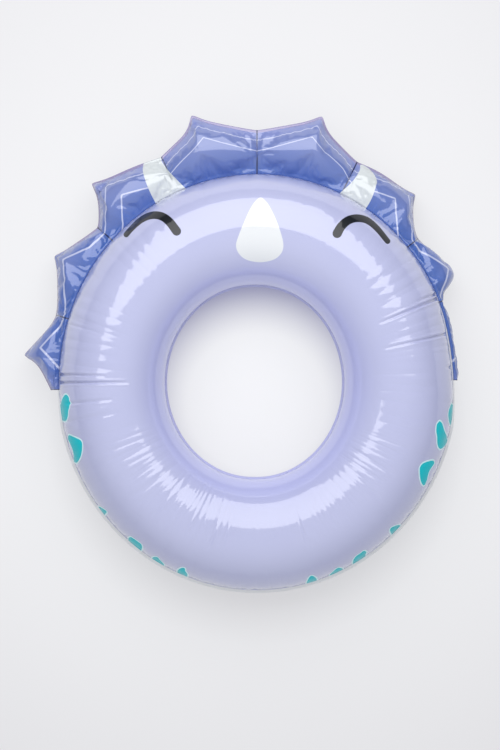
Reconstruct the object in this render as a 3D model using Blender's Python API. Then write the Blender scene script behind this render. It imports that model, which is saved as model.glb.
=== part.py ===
"""An inflatable swim ring with a pointed frill, lying flat.

Two air chambers: an oval tube of two welded sheets, and a frill of eight pointed cells of two
welded films, fixed round half of the tube's outer seam. Each chamber has a push-in valve on its
underside: a flange, a flexible web, a stem with a check flap, and a plug on a strap.

Metres, +Z up. The ring rests on z = 0 with the frill towards +Y, and the origin is on the floor
under the middle of the whole outline.
"""

import math
from collections import namedtuple

import bmesh
import bpy
import numpy as np
from mathutils import Matrix, Vector

# Film and welds
FILM = 0.0003
FIT_GAP = 0.0003
SEAM_WIDTH = 0.003
FRILL_WELD_WIDTH = 0.0045

# Tube
RING_HALF_WIDTH = 0.3295
RING_HALF_LENGTH = 0.346
TUBE_RADIUS = 0.0925
CONTACT_HALF_WIDTH = 0.010
RING_STATIONS = 60
TOP_TUBE_STEPS = 8
LOW_TUBE_STEPS = 4

# Frill: film lengths from the tube's seam to the outer edge
TOP_SPIKE_LENGTH = 0.115
SPIKE_LENGTH = 0.109
END_SPIKE_LENGTH = 0.094
TOP_PINCH_LENGTH = 0.074
HORN_PINCH_LENGTH = 0.067
SIDE_PINCH_LENGTH = 0.046
FRILL_END_LENGTH = 0.016
CELL_HALF_DEPTH = 0.026
HANG_SQUEEZE = 0.65
HANG_SQUEEZE_ALONG = 0.3
PASSAGE_HALF_DEPTH = 0.005
FRILL_TUBE_CLEARANCE = 0.002
FRILL_FLOOR_CLEARANCE = 0.006
HALF_CELL_STEPS = 4
PATCH_LEAD_STEPS = 2
SCALLOP_POWER = 1.5

# Places of the two valves: degrees below the seam at the -Y end, and a share of the way from the
# frill's root weld to its edge weld
MAIN_VALVE_ELEVATION = math.radians(35)
FRILL_VALVE_ALONG = 0.45

# Valve
FLANGE_RADIUS = 0.0165
FLANGE_THICKNESS = 0.0008
FILM_HOLE_RADIUS = 0.0120
FLANGE_LAP = 0.0005
WEB_DEPTH = 0.0060
WEB_THICKNESS = 0.0006
WEB_LEDGE = 0.0010
STEM_RADIUS = 0.0065
STEM_BORE_RADIUS = 0.0042
STEM_LENGTH = 0.0120
STEM_RISE = 0.0010
STEM_CHAMFER = 0.0003
PLUG_HEAD_RADIUS = 0.0075
PLUG_HEAD_THICKNESS = 0.0017
PLUG_RIM_WIDTH = 0.0013
PLUG_DISH_DEPTH = 0.0004
PLUG_LENGTH = 0.0060
PLUG_TAPER = 0.0011
STRAP_REACH = 0.0142
STRAP_HALF_WIDTH = 0.0024
STRAP_THICKNESS = 0.0007
FLAP_THICKNESS = 0.0005
PATCH_MARGIN = 0.0015
PATCH_END_MARGIN = 0.0040
TURNED_SIDES = 20

# What follows from the sizes above
PATCH_HALF = FLANGE_RADIUS + PATCH_MARGIN
HALF_PATCH_ANGLE = PATCH_HALF / TUBE_RADIUS
INNER_TUBE_RADIUS = TUBE_RADIUS - FILM
SEAM_HEIGHT = math.sqrt(INNER_TUBE_RADIUS**2 - CONTACT_HALF_WIDTH**2) + FILM + FIT_GAP / 2
CENTRE_HALF_WIDTH = RING_HALF_WIDTH - TUBE_RADIUS
CENTRE_HALF_LENGTH = RING_HALF_LENGTH - TUBE_RADIUS
FRILL_BEND = TUBE_RADIUS + SEAM_WIDTH + FIT_GAP
ROOT_HALF_GAP = FIT_GAP / 2 + FILM + FIT_GAP
WELD_HALF_GAP = FIT_GAP / 2

# Colours, roughness and metallic value of each material
FINISHES = {
    "lavender_film": ((0.52, 0.53, 0.76), 0.25),
    "periwinkle_film": ((0.18, 0.23, 0.56), 0.25),
    "valve_clear": ((0.62, 0.66, 0.80), 0.35),
    "valve_plug": ((0.80, 0.82, 0.90), 0.35),
}

FrillPoint = namedtuple("FrillPoint", "angles length hang_left hang_right")

# The frill's outline from the +Y end round to the sides: pinches and spikes in turn, with the
# angles from +Y on the left and on the right, the film's length, and how it hangs on each side:
# its tilt below level at the root, and how many degrees it turns down over each 0.1 m. The right
# side hangs lower and curls under the tube.
FRILL_POINTS = (
    FrillPoint((0.0, 0.0), TOP_PINCH_LENGTH, (4, 0), (4, 0)),
    FrillPoint((14.0, 14.0), TOP_SPIKE_LENGTH, (4, 8), (4, 8)),
    FrillPoint((23.5, 23.0), HORN_PINCH_LENGTH, (12, 3), (12, 3)),
    FrillPoint((40.0, 40.0), SPIKE_LENGTH, (22, 18), (34, 18)),
    FrillPoint((45.5, 46.5), SIDE_PINCH_LENGTH, (44, 9), (66, 30)),
    FrillPoint((60.0, 63.0), SPIKE_LENGTH, (44, 22), (24, 76)),
    FrillPoint((70.0, 71.5), SIDE_PINCH_LENGTH, (58, 9), (76, 30)),
    FrillPoint((82.5, 84.0), END_SPIKE_LENGTH, (36, 22), (80, 45)),
    FrillPoint((91.5, 90.5), FRILL_END_LENGTH, (40, 30), (50, 45)),
)
HANG_LENGTH = 0.1


def clear_scene():
    for thing in list(bpy.data.objects):
        bpy.data.objects.remove(thing, do_unlink=True)


def finish(name):
    """The named material, made the first time that it is asked for."""
    found = bpy.data.materials.get(name)
    if found:
        return found
    colour, roughness = FINISHES[name]
    made = bpy.data.materials.new(name)
    made.use_nodes = True
    shader = made.node_tree.nodes["Principled BSDF"]
    shader.inputs["Base Color"].default_value = (*colour, 1.0)
    shader.inputs["Roughness"].default_value = roughness
    shader.inputs["Metallic"].default_value = 0.0
    return made


def add_object(name, bm, material, parent, smooth_degrees=40):
    mesh = bpy.data.meshes.new(name)
    bm.to_mesh(mesh)
    bm.free()
    mesh.materials.append(finish(material))
    mesh.shade_smooth()
    mesh.set_sharp_from_angle(angle=math.radians(smooth_degrees))
    made = bpy.data.objects.new(name, mesh)
    bpy.context.scene.collection.objects.link(made)
    made.parent = parent
    return made


def add_empty(name, parent=None, matrix=None):
    made = bpy.data.objects.new(name, None)
    made.empty_display_size = 0.02
    bpy.context.scene.collection.objects.link(made)
    made.parent = parent
    if matrix is not None:
        made.matrix_local = matrix
    return made


def grid_mesh(rows, closed, front):
    """A sheet of triangles through rows of points; front is 1, or -1 to turn its face round.

    The same rows give the same diagonals either way, so two welded films stay clear."""
    bm = bmesh.new()
    made = [[bm.verts.new(point) for point in row] for row in rows]
    columns = len(rows[0])
    for low, high in zip(made, made[1:]):
        for start in range(columns if closed else columns - 1):
            end = (start + 1) % columns
            bm.faces.new((low[start], low[end], high[end]))
            bm.faces.new((low[start], high[end], high[start]))
    if front < 0:
        bmesh.ops.reverse_faces(bm, faces=bm.faces)
    return bm


def thicken(sheet):
    """Gives a sheet the film's thickness, outwards from the side that faces the air inside."""
    modifier = sheet.modifiers.new("film", "SOLIDIFY")
    modifier.thickness = FILM
    modifier.offset = 1.0
    modifier.use_even_offset = True


def ring_point(angle, out, up):
    """The point beside the tube's centre line: out from it, level, and up from the seam.

    The angle runs round the centre line's oval, from +X towards +Y."""
    centre = Vector((CENTRE_HALF_WIDTH * math.cos(angle), CENTRE_HALF_LENGTH * math.sin(angle), 0))
    normal = Vector((math.cos(angle) / CENTRE_HALF_WIDTH, math.sin(angle) / CENTRE_HALF_LENGTH, 0))
    return centre + normal.normalized() * out + Vector((0, 0, SEAM_HEIGHT + up))


# Tube

def ring_angles():
    """Stations round the tube. The first and the last are the sides of the valve's flat patch."""
    valve_out = TUBE_RADIUS * math.cos(MAIN_VALVE_ELEVATION)
    step_length = CENTRE_HALF_WIDTH + valve_out * CENTRE_HALF_LENGTH / CENTRE_HALF_WIDTH
    half_patch = PATCH_HALF / step_length
    rest = 2 * math.pi - 2 * half_patch
    start = -math.pi / 2 + half_patch
    return [start + rest * i / (RING_STATIONS - 1) for i in range(RING_STATIONS)]


def tube_section(steps, up):
    """One sheet's section from its outer weld to its inner weld; up is 1 above the seam, or -1."""
    height = up * FIT_GAP / 2
    edge = TUBE_RADIUS + SEAM_WIDTH
    wall = [
        (INNER_TUBE_RADIUS * math.cos(step), height + up * INNER_TUBE_RADIUS * math.sin(step))
        for step in steps
    ]
    return [(edge, height), *wall, (-edge, height)]


def even(start, end, count):
    return list(np.linspace(start, end, count + 1))


def top_steps():
    return even(0, math.pi, TOP_TUBE_STEPS)


def low_steps():
    """Below the seam: the valve's flat patch and the flat band that rests on the floor."""
    half_band = math.asin(CONTACT_HALF_WIDTH / INNER_TUBE_RADIUS)
    to_patch = even(0, MAIN_VALVE_ELEVATION - HALF_PATCH_ANGLE, 2)
    to_band = even(MAIN_VALVE_ELEVATION + HALF_PATCH_ANGLE, math.pi / 2 - half_band, 2)
    to_hole = even(math.pi / 2 + half_band, math.pi, LOW_TUBE_STEPS)
    return to_patch + to_band + to_hole


def ring_rows(steps, up):
    section = tube_section(steps, up)
    return [[ring_point(angle, out, z) for angle in ring_angles()] for out, z in section]


def add_ring_sheets(parent):
    top = grid_mesh(ring_rows(top_steps(), 1), closed=True, front=1)
    bottom = grid_mesh(ring_rows(low_steps(), -1), closed=True, front=-1)
    sheets = (
        add_object("ring_top_sheet", top, "lavender_film", parent),
        add_object("ring_bottom_sheet", bottom, "lavender_film", parent),
    )
    for sheet in sheets:
        thicken(sheet)
    return sheets


def main_valve_frame():
    """On the outside of the bottom sheet, in the middle of its flat patch at the -Y end."""
    ends = (MAIN_VALVE_ELEVATION - HALF_PATCH_ANGLE, MAIN_VALVE_ELEVATION + HALF_PATCH_ANGLE)
    section = tube_section(ends, -1)[1:3]
    sides = (ring_angles()[0], ring_angles()[-1])
    corners = [ring_point(angle, out, z) for out, z in section for angle in sides]
    outward = Vector((0, -math.cos(MAIN_VALVE_ELEVATION), -math.sin(MAIN_VALVE_ELEVATION)))
    middle = sum(corners, Vector()) / len(corners)
    return frame_on(middle + outward * FILM, outward, Vector((1, 0, 0)))


# Frill

def eased(share):
    return (1 - math.cos(math.pi * share)) / 2


def film_length(pinch, spike, rise):
    """The film's length at a share of the way from a pinch to a spike: a hollow curve."""
    return pinch.length + (spike.length - pinch.length) * rise**SCALLOP_POWER


def frill_column(side, index, share):
    """What the frill is like at a share of the way from one outline point to the next.

    side is 1 on the +X side and -1 on the other. It gives the angle round the tube, the film's
    length, the root's tilt, its bend per metre, and how full the cell is there, 0 to 1."""
    here, there = FRILL_POINTS[index], FRILL_POINTS[index + 1]
    angles = [point.angles[side > 0] for point in FRILL_POINTS]
    from_y = angles[index] + (angles[index + 1] - angles[index]) * share
    pinch, spike = (here, there) if index % 2 == 0 else (there, here)
    rise = share if index % 2 == 0 else 1 - share
    length = film_length(pinch, spike, rise)
    hang_here = here.hang_right if side > 0 else here.hang_left
    hang_there = there.hang_right if side > 0 else there.hang_left
    root, turn = (
        math.radians(a + (b - a) * eased(share)) for a, b in zip(hang_here, hang_there)
    )
    cell_start = angles[index - index % 2]
    cell_end = angles[index - index % 2 + 2]
    across = (from_y - cell_start) / (cell_end - cell_start)
    fullness = math.sin(math.pi * across) ** 0.7 if 0 < across < 1 else 0.0
    return math.pi / 2 - side * math.radians(from_y), length, root, turn / HANG_LENGTH, fullness


def film_path(root, bend, distance):
    """(out, up, tilt) on the frill's middle surface at a distance from its fold at the seam."""
    tilt = root + bend * distance
    if abs(bend) < 1e-6:
        return distance * math.cos(root), -distance * math.sin(root), root
    out = (math.sin(tilt) - math.sin(root)) / bend
    up = (math.cos(tilt) - math.cos(root)) / bend
    return out, up, tilt


def above_floor(length, root, bend):
    """The root's tilt and the bend, eased until the edge clears the floor: a film that curls
    under the tube curls further, and any other hangs less."""
    room = SEAM_HEIGHT - FRILL_FLOOR_CLEARANCE
    step = math.radians(0.25)
    while -film_path(root, bend, length)[1] > room:
        if root + bend * length > math.pi / 2:
            bend += step / length
        else:
            root -= step
    return root, bend


def frill_line(column, rows, face):
    """Points across one film at one station, from its root weld to its outer edge.

    rows are shares of the free film between the welds; face is 1 on the front and -1 behind."""
    angle, length, root, bend, fullness = column
    free = length - SEAM_WIDTH - FIT_GAP
    root, bend = above_floor(free, root, bend)
    weld_start = free - FRILL_WELD_WIDTH
    hang = film_path(root, bend, free * HANG_SQUEEZE_ALONG)[2]
    squeeze = 1 - HANG_SQUEEZE * math.sin(hang) ** 2
    full_depth = CELL_HALF_DEPTH * squeeze * free / SPIKE_LENGTH
    points = [ring_point(angle, TUBE_RADIUS + FIT_GAP, face * ROOT_HALF_GAP)]
    points.append(ring_point(angle, FRILL_BEND, face * ROOT_HALF_GAP))
    for share in rows[1:]:
        out, up, tilt = film_path(root, bend, weld_start * share)
        along = math.sin(math.pi * share**0.75) ** 0.8 if share < 1 else 0.0
        pinched = PASSAGE_HALF_DEPTH * (1 - share) ** 2
        depth = along * (pinched + (full_depth - pinched) * fullness)
        if face < 0:
            room = math.hypot(FRILL_BEND + out, up) - TUBE_RADIUS - FRILL_TUBE_CLEARANCE
            depth = max(0.0, min(depth, room))
        gap = ROOT_HALF_GAP + (WELD_HALF_GAP - ROOT_HALF_GAP) * share
        off = face * (gap + depth)
        points.append(
            ring_point(angle, FRILL_BEND + out + off * math.sin(tilt), up + off * math.cos(tilt))
        )
    out, up, tilt = film_path(root, bend, free)
    off = face * WELD_HALF_GAP
    points.append(
        ring_point(angle, FRILL_BEND + out + off * math.sin(tilt), up + off * math.cos(tilt))
    )
    return points


def patch_shares():
    """Where the frill valve's flat patch starts and ends on the way from pinch to spike."""
    width = math.radians(FRILL_POINTS[1].angles[0]) * (RING_HALF_LENGTH + SPIKE_LENGTH / 5)
    end = 1 - PATCH_END_MARGIN / width
    return end - 2 * PATCH_HALF / width, end


def half_cell_shares(side, index):
    """Stations from one outline point to the next. Beside the frill's valve, two of them are
    the sides of its flat patch."""
    if (side, index) != (-1, 0):
        return even(0, 1, HALF_CELL_STEPS)
    start, end = patch_shares()
    return [*even(0, start, PATCH_LEAD_STEPS), end, 1.0]


def frill_columns():
    """Columns from the frill's end on the +X side round over +Y to the other end, and which of
    them starts the valve's flat patch."""
    columns = []
    points = len(FRILL_POINTS) - 1
    for index in reversed(range(points)):
        shares = half_cell_shares(1, index)[::-1]
        columns += [frill_column(1, index, share) for share in shares[:-1]]
    patch_column = len(columns) + PATCH_LEAD_STEPS
    for index in range(points):
        shares = half_cell_shares(-1, index)
        columns += [frill_column(-1, index, share) for share in shares[:-1]]
    columns.append(frill_column(-1, points - 1, 1.0))
    return columns, patch_column


def back_rows():
    """Shares of the back film, with the flat patch after the lead steps."""
    length = film_length(FRILL_POINTS[0], FRILL_POINTS[1], patch_shares()[0])
    half = PATCH_HALF / (length - SEAM_WIDTH - FIT_GAP - FRILL_WELD_WIDTH)
    start = FRILL_VALVE_ALONG - half
    end = FRILL_VALVE_ALONG + half
    return [*even(0, start, PATCH_LEAD_STEPS), *even(end, 1, PATCH_LEAD_STEPS)]


def front_rows():
    """The back film's shares and one more, over the middle of the patch."""
    return sorted([*back_rows(), FRILL_VALVE_ALONG])


def flatten(corners):
    """Moves four corners onto the plane through their middle."""
    middle = sum(corners, Vector()) / 4
    normal = (corners[2] - corners[0]).cross(corners[3] - corners[1]).normalized()
    for corner in corners:
        corner -= normal * normal.dot(corner - middle)
    return middle, normal


def add_frill_films(parent):
    """Both films, and the frame of the valve in the middle of the back film's flat patch."""
    columns, patch = frill_columns()
    front = [frill_line(column, front_rows(), 1) for column in columns]
    back = [frill_line(column, back_rows(), -1) for column in columns]
    low = 1 + PATCH_LEAD_STEPS
    high = low + 1
    corners = [back[patch][low], back[patch + 1][low], back[patch + 1][high], back[patch][high]]
    middle, normal = flatten(corners)
    outward = -normal if normal.z > 0 else normal
    sideways = corners[1] - corners[0]
    frame = frame_on(middle + outward * FILM, outward, sideways)
    front_mesh = grid_mesh(front, closed=False, front=1)
    back_mesh = grid_mesh(back, closed=False, front=-1)
    films = (
        add_object("frill_front_sheet", front_mesh, "periwinkle_film", parent),
        add_object("frill_back_sheet", back_mesh, "periwinkle_film", parent),
    )
    for film in films:
        thicken(film)
    return films, frame


# Valves

def frame_on(place, outward, sideways):
    """A frame with +Z out of the film and +X along the film towards the strap."""
    along = (sideways - outward * outward.dot(sideways)).normalized()
    across = outward.cross(along)
    axes = Matrix((along, across, outward)).transposed().to_4x4()
    return Matrix.Translation(place) @ axes


def turned(name, profile, material, parent):
    """A solid turned about Z from (radius, height) points; it may start and end on the axis."""
    bm = bmesh.new()
    points = [bm.verts.new((radius, 0, height)) for radius, height in profile]
    pairs = list(zip(points, points[1:]))
    if profile[0][0] > 0:
        pairs.append((points[-1], points[0]))
    edges = [bm.edges.new(pair) for pair in pairs]
    bmesh.ops.spin(
        bm, geom=points + edges, axis=(0, 0, 1), cent=(0, 0, 0), steps=TURNED_SIDES, angle=2 * math.pi
    )
    bmesh.ops.remove_doubles(bm, verts=bm.verts, dist=1e-6)
    bmesh.ops.recalc_face_normals(bm, faces=bm.faces)
    return add_object(name, bm, material, parent)


def extruded(name, outline, low, high, material, parent):
    bm = bmesh.new()
    face = bm.faces.new([bm.verts.new((x, y, low)) for x, y in outline])
    lifted = bmesh.ops.extrude_face_region(bm, geom=[face])["geom"]
    moved = [part for part in lifted if isinstance(part, bmesh.types.BMVert)]
    bmesh.ops.translate(bm, verts=moved, vec=(0, 0, high - low))
    bmesh.ops.recalc_face_normals(bm, faces=bm.faces)
    return add_object(name, bm, material, parent)


def strap_outline(centre_x, radius, end_x):
    """A strap from round a turned piece to a straight end across X."""
    reach = math.asin(STRAP_HALF_WIDTH / radius)
    arc = [
        (centre_x + radius * math.cos(angle), radius * math.sin(angle))
        for angle in even(-reach, reach, 4)
    ]
    return [*arc, (end_x, STRAP_HALF_WIDTH), (end_x, -STRAP_HALF_WIDTH)]


def cut_film_hole(sheet, frame):
    """The round hole through the film, cut with a hidden cylinder on the valve's axis."""
    bm = bmesh.new()
    bmesh.ops.create_cone(
        bm,
        cap_ends=True,
        segments=TURNED_SIDES,
        radius1=FILM_HOLE_RADIUS,
        radius2=FILM_HOLE_RADIUS,
        depth=20 * FILM,
    )
    cutter = add_object(f"{sheet.name}_hole_cutter", bm, "valve_clear", sheet.parent)
    cutter.matrix_local = frame
    cutter.hide_render = True
    cutter.display_type = "WIRE"
    hole = sheet.modifiers.new("valve hole", "BOOLEAN")
    hole.operation = "DIFFERENCE"
    hole.object = cutter


def add_flange(name, base):
    top = -FILM - FIT_GAP
    inner = FILM_HOLE_RADIUS - FLANGE_LAP
    low = top - FLANGE_THICKNESS
    profile = [(inner, low), (FLANGE_RADIUS, low), (FLANGE_RADIUS, top), (inner, top)]
    turned(f"{name}_flange", profile, "valve_clear", base)


def add_web(name, base):
    """A cone that dips from the flange's bore to the stem."""
    outer = FILM_HOLE_RADIUS - FLANGE_LAP - FIT_GAP
    inner = STEM_RADIUS + FIT_GAP
    top = -FILM - FIT_GAP
    low = top - WEB_DEPTH
    profile = [
        (outer, top - WEB_THICKNESS),
        (outer, top),
        (outer - WEB_LEDGE, top),
        (inner + WEB_LEDGE, low),
        (inner, low),
        (inner, low - WEB_THICKNESS),
        (inner + WEB_LEDGE, low - WEB_THICKNESS),
        (outer - WEB_LEDGE, top - WEB_THICKNESS),
    ]
    turned(f"{name}_web", profile, "valve_clear", base)


def add_stem(name, slider):
    bottom = STEM_RISE - STEM_LENGTH
    profile = [
        (STEM_BORE_RADIUS, bottom),
        (STEM_RADIUS - STEM_CHAMFER, bottom),
        (STEM_RADIUS, bottom + STEM_CHAMFER),
        (STEM_RADIUS, STEM_RISE - STEM_CHAMFER),
        (STEM_RADIUS - STEM_CHAMFER, STEM_RISE),
        (STEM_BORE_RADIUS, STEM_RISE),
    ]
    turned(f"{name}_stem", profile, "valve_clear", slider)
    outline = strap_outline(0, STEM_RADIUS + FIT_GAP, STRAP_REACH)
    low = STEM_RISE - STRAP_THICKNESS
    extruded(f"{name}_strap_base", outline, low, STEM_RISE, "valve_plug", slider)


def add_plug(name, slider):
    """The stopper and its half of the strap, which turn about the strap's fold."""
    fold_height = STEM_RISE + FIT_GAP / 2
    fold = add_empty(
        f"{name}_strap_fold", slider, Matrix.Translation((STRAP_REACH, 0, fold_height))
    )
    head_low = FIT_GAP / 2
    head_top = head_low + PLUG_HEAD_THICKNESS
    top_radius = STEM_BORE_RADIUS - FIT_GAP
    dish = PLUG_DISH_DEPTH
    rim = PLUG_HEAD_RADIUS - dish
    profile = [
        (0, head_low - PLUG_LENGTH),
        (top_radius - PLUG_TAPER, head_low - PLUG_LENGTH),
        (top_radius, head_low),
        (PLUG_HEAD_RADIUS, head_low),
        (PLUG_HEAD_RADIUS, head_top - dish),
        (rim, head_top),
        (rim - PLUG_RIM_WIDTH, head_top),
        (rim - PLUG_RIM_WIDTH - dish, head_top - dish),
        (0, head_top - dish),
    ]
    plug = turned(f"{name}_plug", profile, "valve_plug", fold)
    plug.data.transform(Matrix.Translation((-STRAP_REACH, 0, 0)))
    outline = strap_outline(-STRAP_REACH, PLUG_HEAD_RADIUS + FIT_GAP, 0)
    extruded(
        f"{name}_strap_end", outline, head_low, head_low + STRAP_THICKNESS, "valve_plug", fold
    )


def add_check_flap(name, slider):
    """A disc under the stem's bore that hinges at its own edge."""
    bottom = STEM_RISE - STEM_LENGTH
    radius = STEM_RADIUS - FIT_GAP
    middle = bottom - FIT_GAP - FLAP_THICKNESS / 2
    hinge = add_empty(f"{name}_flap_hinge", slider, Matrix.Translation((-radius, 0, middle)))
    disc = [
        (radius + radius * math.cos(angle), radius * math.sin(angle))
        for angle in even(0, 2 * math.pi, TURNED_SIDES)[:-1]
    ]
    half = FLAP_THICKNESS / 2
    extruded(f"{name}_check_flap", disc, -half, half, "valve_clear", hinge)


def add_valve(name, sheet, frame):
    base = add_empty(f"{name}_base", sheet.parent, frame)
    slider = add_empty(f"{name}_slider", base)
    cut_film_hole(sheet, frame)
    add_flange(name, base)
    add_web(name, base)
    add_stem(name, slider)
    add_plug(name, slider)
    add_check_flap(name, slider)


def centre_over_origin(axis, pieces):
    """Shifts the ring's axis so that the outline's middle stands over the origin."""
    bpy.context.view_layer.update()
    graph = bpy.context.evaluated_depsgraph_get()
    corners = [
        piece.evaluated_get(graph).matrix_world @ Vector(corner)
        for piece in pieces
        for corner in piece.evaluated_get(graph).bound_box
    ]
    for side in range(2):
        values = [corner[side] for corner in corners]
        axis.location[side] = -(min(values) + max(values)) / 2


clear_scene()
ring_axis = add_empty("ring_axis")
ring_top, ring_bottom = add_ring_sheets(ring_axis)
(frill_front, frill_back), frill_valve = add_frill_films(ring_axis)
add_valve("main_valve", ring_bottom, main_valve_frame())
add_valve("frill_valve", frill_back, frill_valve)
centre_over_origin(ring_axis, (ring_top, ring_bottom, frill_front, frill_back))
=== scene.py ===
"""The looks of an inflatable swim ring with a pointed frill, lying flat and seen from above."""

import math

import bmesh
import bpy
import numpy as np
from mathutils import Matrix, Vector


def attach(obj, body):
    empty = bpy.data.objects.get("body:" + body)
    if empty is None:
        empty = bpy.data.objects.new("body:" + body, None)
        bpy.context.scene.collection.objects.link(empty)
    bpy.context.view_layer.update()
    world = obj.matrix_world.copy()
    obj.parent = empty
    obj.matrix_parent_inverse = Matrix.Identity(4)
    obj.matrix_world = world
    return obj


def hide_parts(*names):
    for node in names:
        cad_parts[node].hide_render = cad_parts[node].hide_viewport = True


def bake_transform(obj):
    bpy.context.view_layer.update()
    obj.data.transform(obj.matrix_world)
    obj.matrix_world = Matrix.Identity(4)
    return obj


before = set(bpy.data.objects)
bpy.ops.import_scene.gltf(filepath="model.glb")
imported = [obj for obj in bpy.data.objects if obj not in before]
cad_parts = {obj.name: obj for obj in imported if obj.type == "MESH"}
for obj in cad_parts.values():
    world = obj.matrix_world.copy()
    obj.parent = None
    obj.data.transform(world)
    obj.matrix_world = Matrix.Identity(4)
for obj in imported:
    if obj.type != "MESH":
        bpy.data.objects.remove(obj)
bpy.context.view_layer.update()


# Camera, floor and light
#
# The camera stands 4 m above the plane of the tube's seam and looks straight down, with the frill
# at the top of the picture. One wide soft panel beyond the frill makes the long highlights, and a
# pale room fills the rest.

RING_AXIS = np.array([0.0241, -0.0484])
SEAM_HEIGHT = 0.0921
CAMERA_OFFSET = (-0.0117, 0.0117, 4.0)
CAMERA_PLACE = np.array([*RING_AXIS, SEAM_HEIGHT]) + CAMERA_OFFSET
CAMERA_LENS = 115.2
SENSOR = 36.0
PICTURE = (500, 750)
FOCAL_PIXELS = CAMERA_LENS / SENSOR * max(PICTURE)

PANEL_PLACE = (-0.15, 2.05, 2.25)
PANEL_TILT = 18.9
PANEL_TURN = 5.5
PANEL_SIZE = (3.8, 3.5)
PANEL_POWER = 93
ROOM_COLOUR = (0.97, 0.985, 1.0)
TOP_LEVEL = 0.68
NEAR_LEVEL = 0.72
FLOOR_SIZE = 30
FLOOR_GREY = (0.50, 0.505, 0.51)
FLOOR_PALE = (0.90, 0.90, 0.915)
# The backdrop's glow for the camera, with painted light and shade: a painted falloff, brighter near
# the middle and dimmer far out, and painted shadows in the hole's far side and on the floor by the
# ring's near side
BACKDROP_MIDDLE = (0.0, 0.0, 0.0)
BACKDROP_REACH = 1.2
BACKDROP_NEAR = (0.96, 0.965, 0.98)
BACKDROP_FAR = (0.61, 0.60, 0.63)
EVEN_SHARE = 0.71
UNDER_RING = (0.24, 0.26)
HOLE_SHADE = (0.27, 0.27, 0.46)
HOLE_SHADE_MIDDLE = (0.0241, -0.0834, 0.0)
HOLE_SHADE_REACH = (0.115, 0.200)
HOLE_SHADE_POWER = 1.5
NEAR_SHADE = (0.70, 0.69, 0.71)
NEAR_SHADE_MIDDLE = (0.0241, -0.1384, 0.0)
NEAR_SHADE_REACH = (0.25, 0.36)

# The Mix node's sockets for two colours, and for the colour between them
MIX_UNDER, MIX_OVER, MIX_RESULT = 6, 7, 2


def add_object(name, data):
    made = bpy.data.objects.new(name, data)
    bpy.context.scene.collection.objects.link(made)
    return made


def add_camera():
    data = bpy.data.cameras.new("camera")
    data.lens = CAMERA_LENS
    data.sensor_width = SENSOR
    camera = add_object("camera", data)
    camera.location = CAMERA_PLACE
    bpy.context.scene.camera = camera


def add_panel():
    data = bpy.data.lights.new("soft panel", "AREA")
    data.shape = "RECTANGLE"
    data.size, data.size_y = PANEL_SIZE
    data.energy = PANEL_POWER
    panel = add_object("soft panel", data)
    lean = Matrix.Rotation(math.radians(-PANEL_TILT), 4, "X")
    turn = Matrix.Rotation(math.radians(PANEL_TURN), 4, "Z")
    panel.matrix_world = Matrix.Translation(PANEL_PLACE) @ lean @ turn
    panel.visible_camera = False


def feed(tree, socket, value):
    if isinstance(value, bpy.types.NodeSocket):
        tree.links.new(value, socket)
    else:
        socket.default_value = value


def add_node(tree, kind, values=(), **settings):
    """A node with these settings, and its inputs by label or number: plain values or sockets."""
    made = tree.nodes.new(kind)
    for label, setting in settings.items():
        setattr(made, label, setting)
    for label, value in dict(values).items():
        feed(tree, made.inputs[label], value)
    return made


def maths(tree, operation, *values):
    return add_node(tree, "ShaderNodeMath", enumerate(values), operation=operation).outputs[0]


def vectors(tree, operation, *values):
    return add_node(tree, "ShaderNodeVectorMath", enumerate(values), operation=operation).outputs


def between(tree, value, start, end, first, last):
    """A value that goes from first to last while another goes from start to end."""
    values = {"Value": value, "From Min": start, "From Max": end, "To Min": first, "To Max": last}
    return add_node(tree, "ShaderNodeMapRange", values).outputs["Result"]


def mixed(tree, share, under, over):
    values = {"Factor": share}
    for place, colour in ((MIX_UNDER, under), (MIX_OVER, over)):
        given = isinstance(colour, bpy.types.NodeSocket)
        values[place] = colour if given else (*colour, 1)
    return add_node(tree, "ShaderNodeMix", values, data_type="RGBA").outputs[MIX_RESULT]


def own_place(tree):
    return tree.nodes.new("ShaderNodeTexCoord").outputs["Object"]


def distance_from(tree, place):
    """How far a point of the floor is from a place, in metres."""
    return vectors(tree, "DISTANCE", own_place(tree), place)["Value"]


def new_material(name, values):
    """A material whose shader has these values. Gives (material, tree, shader)."""
    material = bpy.data.materials.new(name)
    material.use_nodes = True
    tree = material.node_tree
    shader = tree.nodes["Principled BSDF"]
    for label, value in values.items():
        feed(tree, shader.inputs[label], value)
    return material, tree, shader


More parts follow.
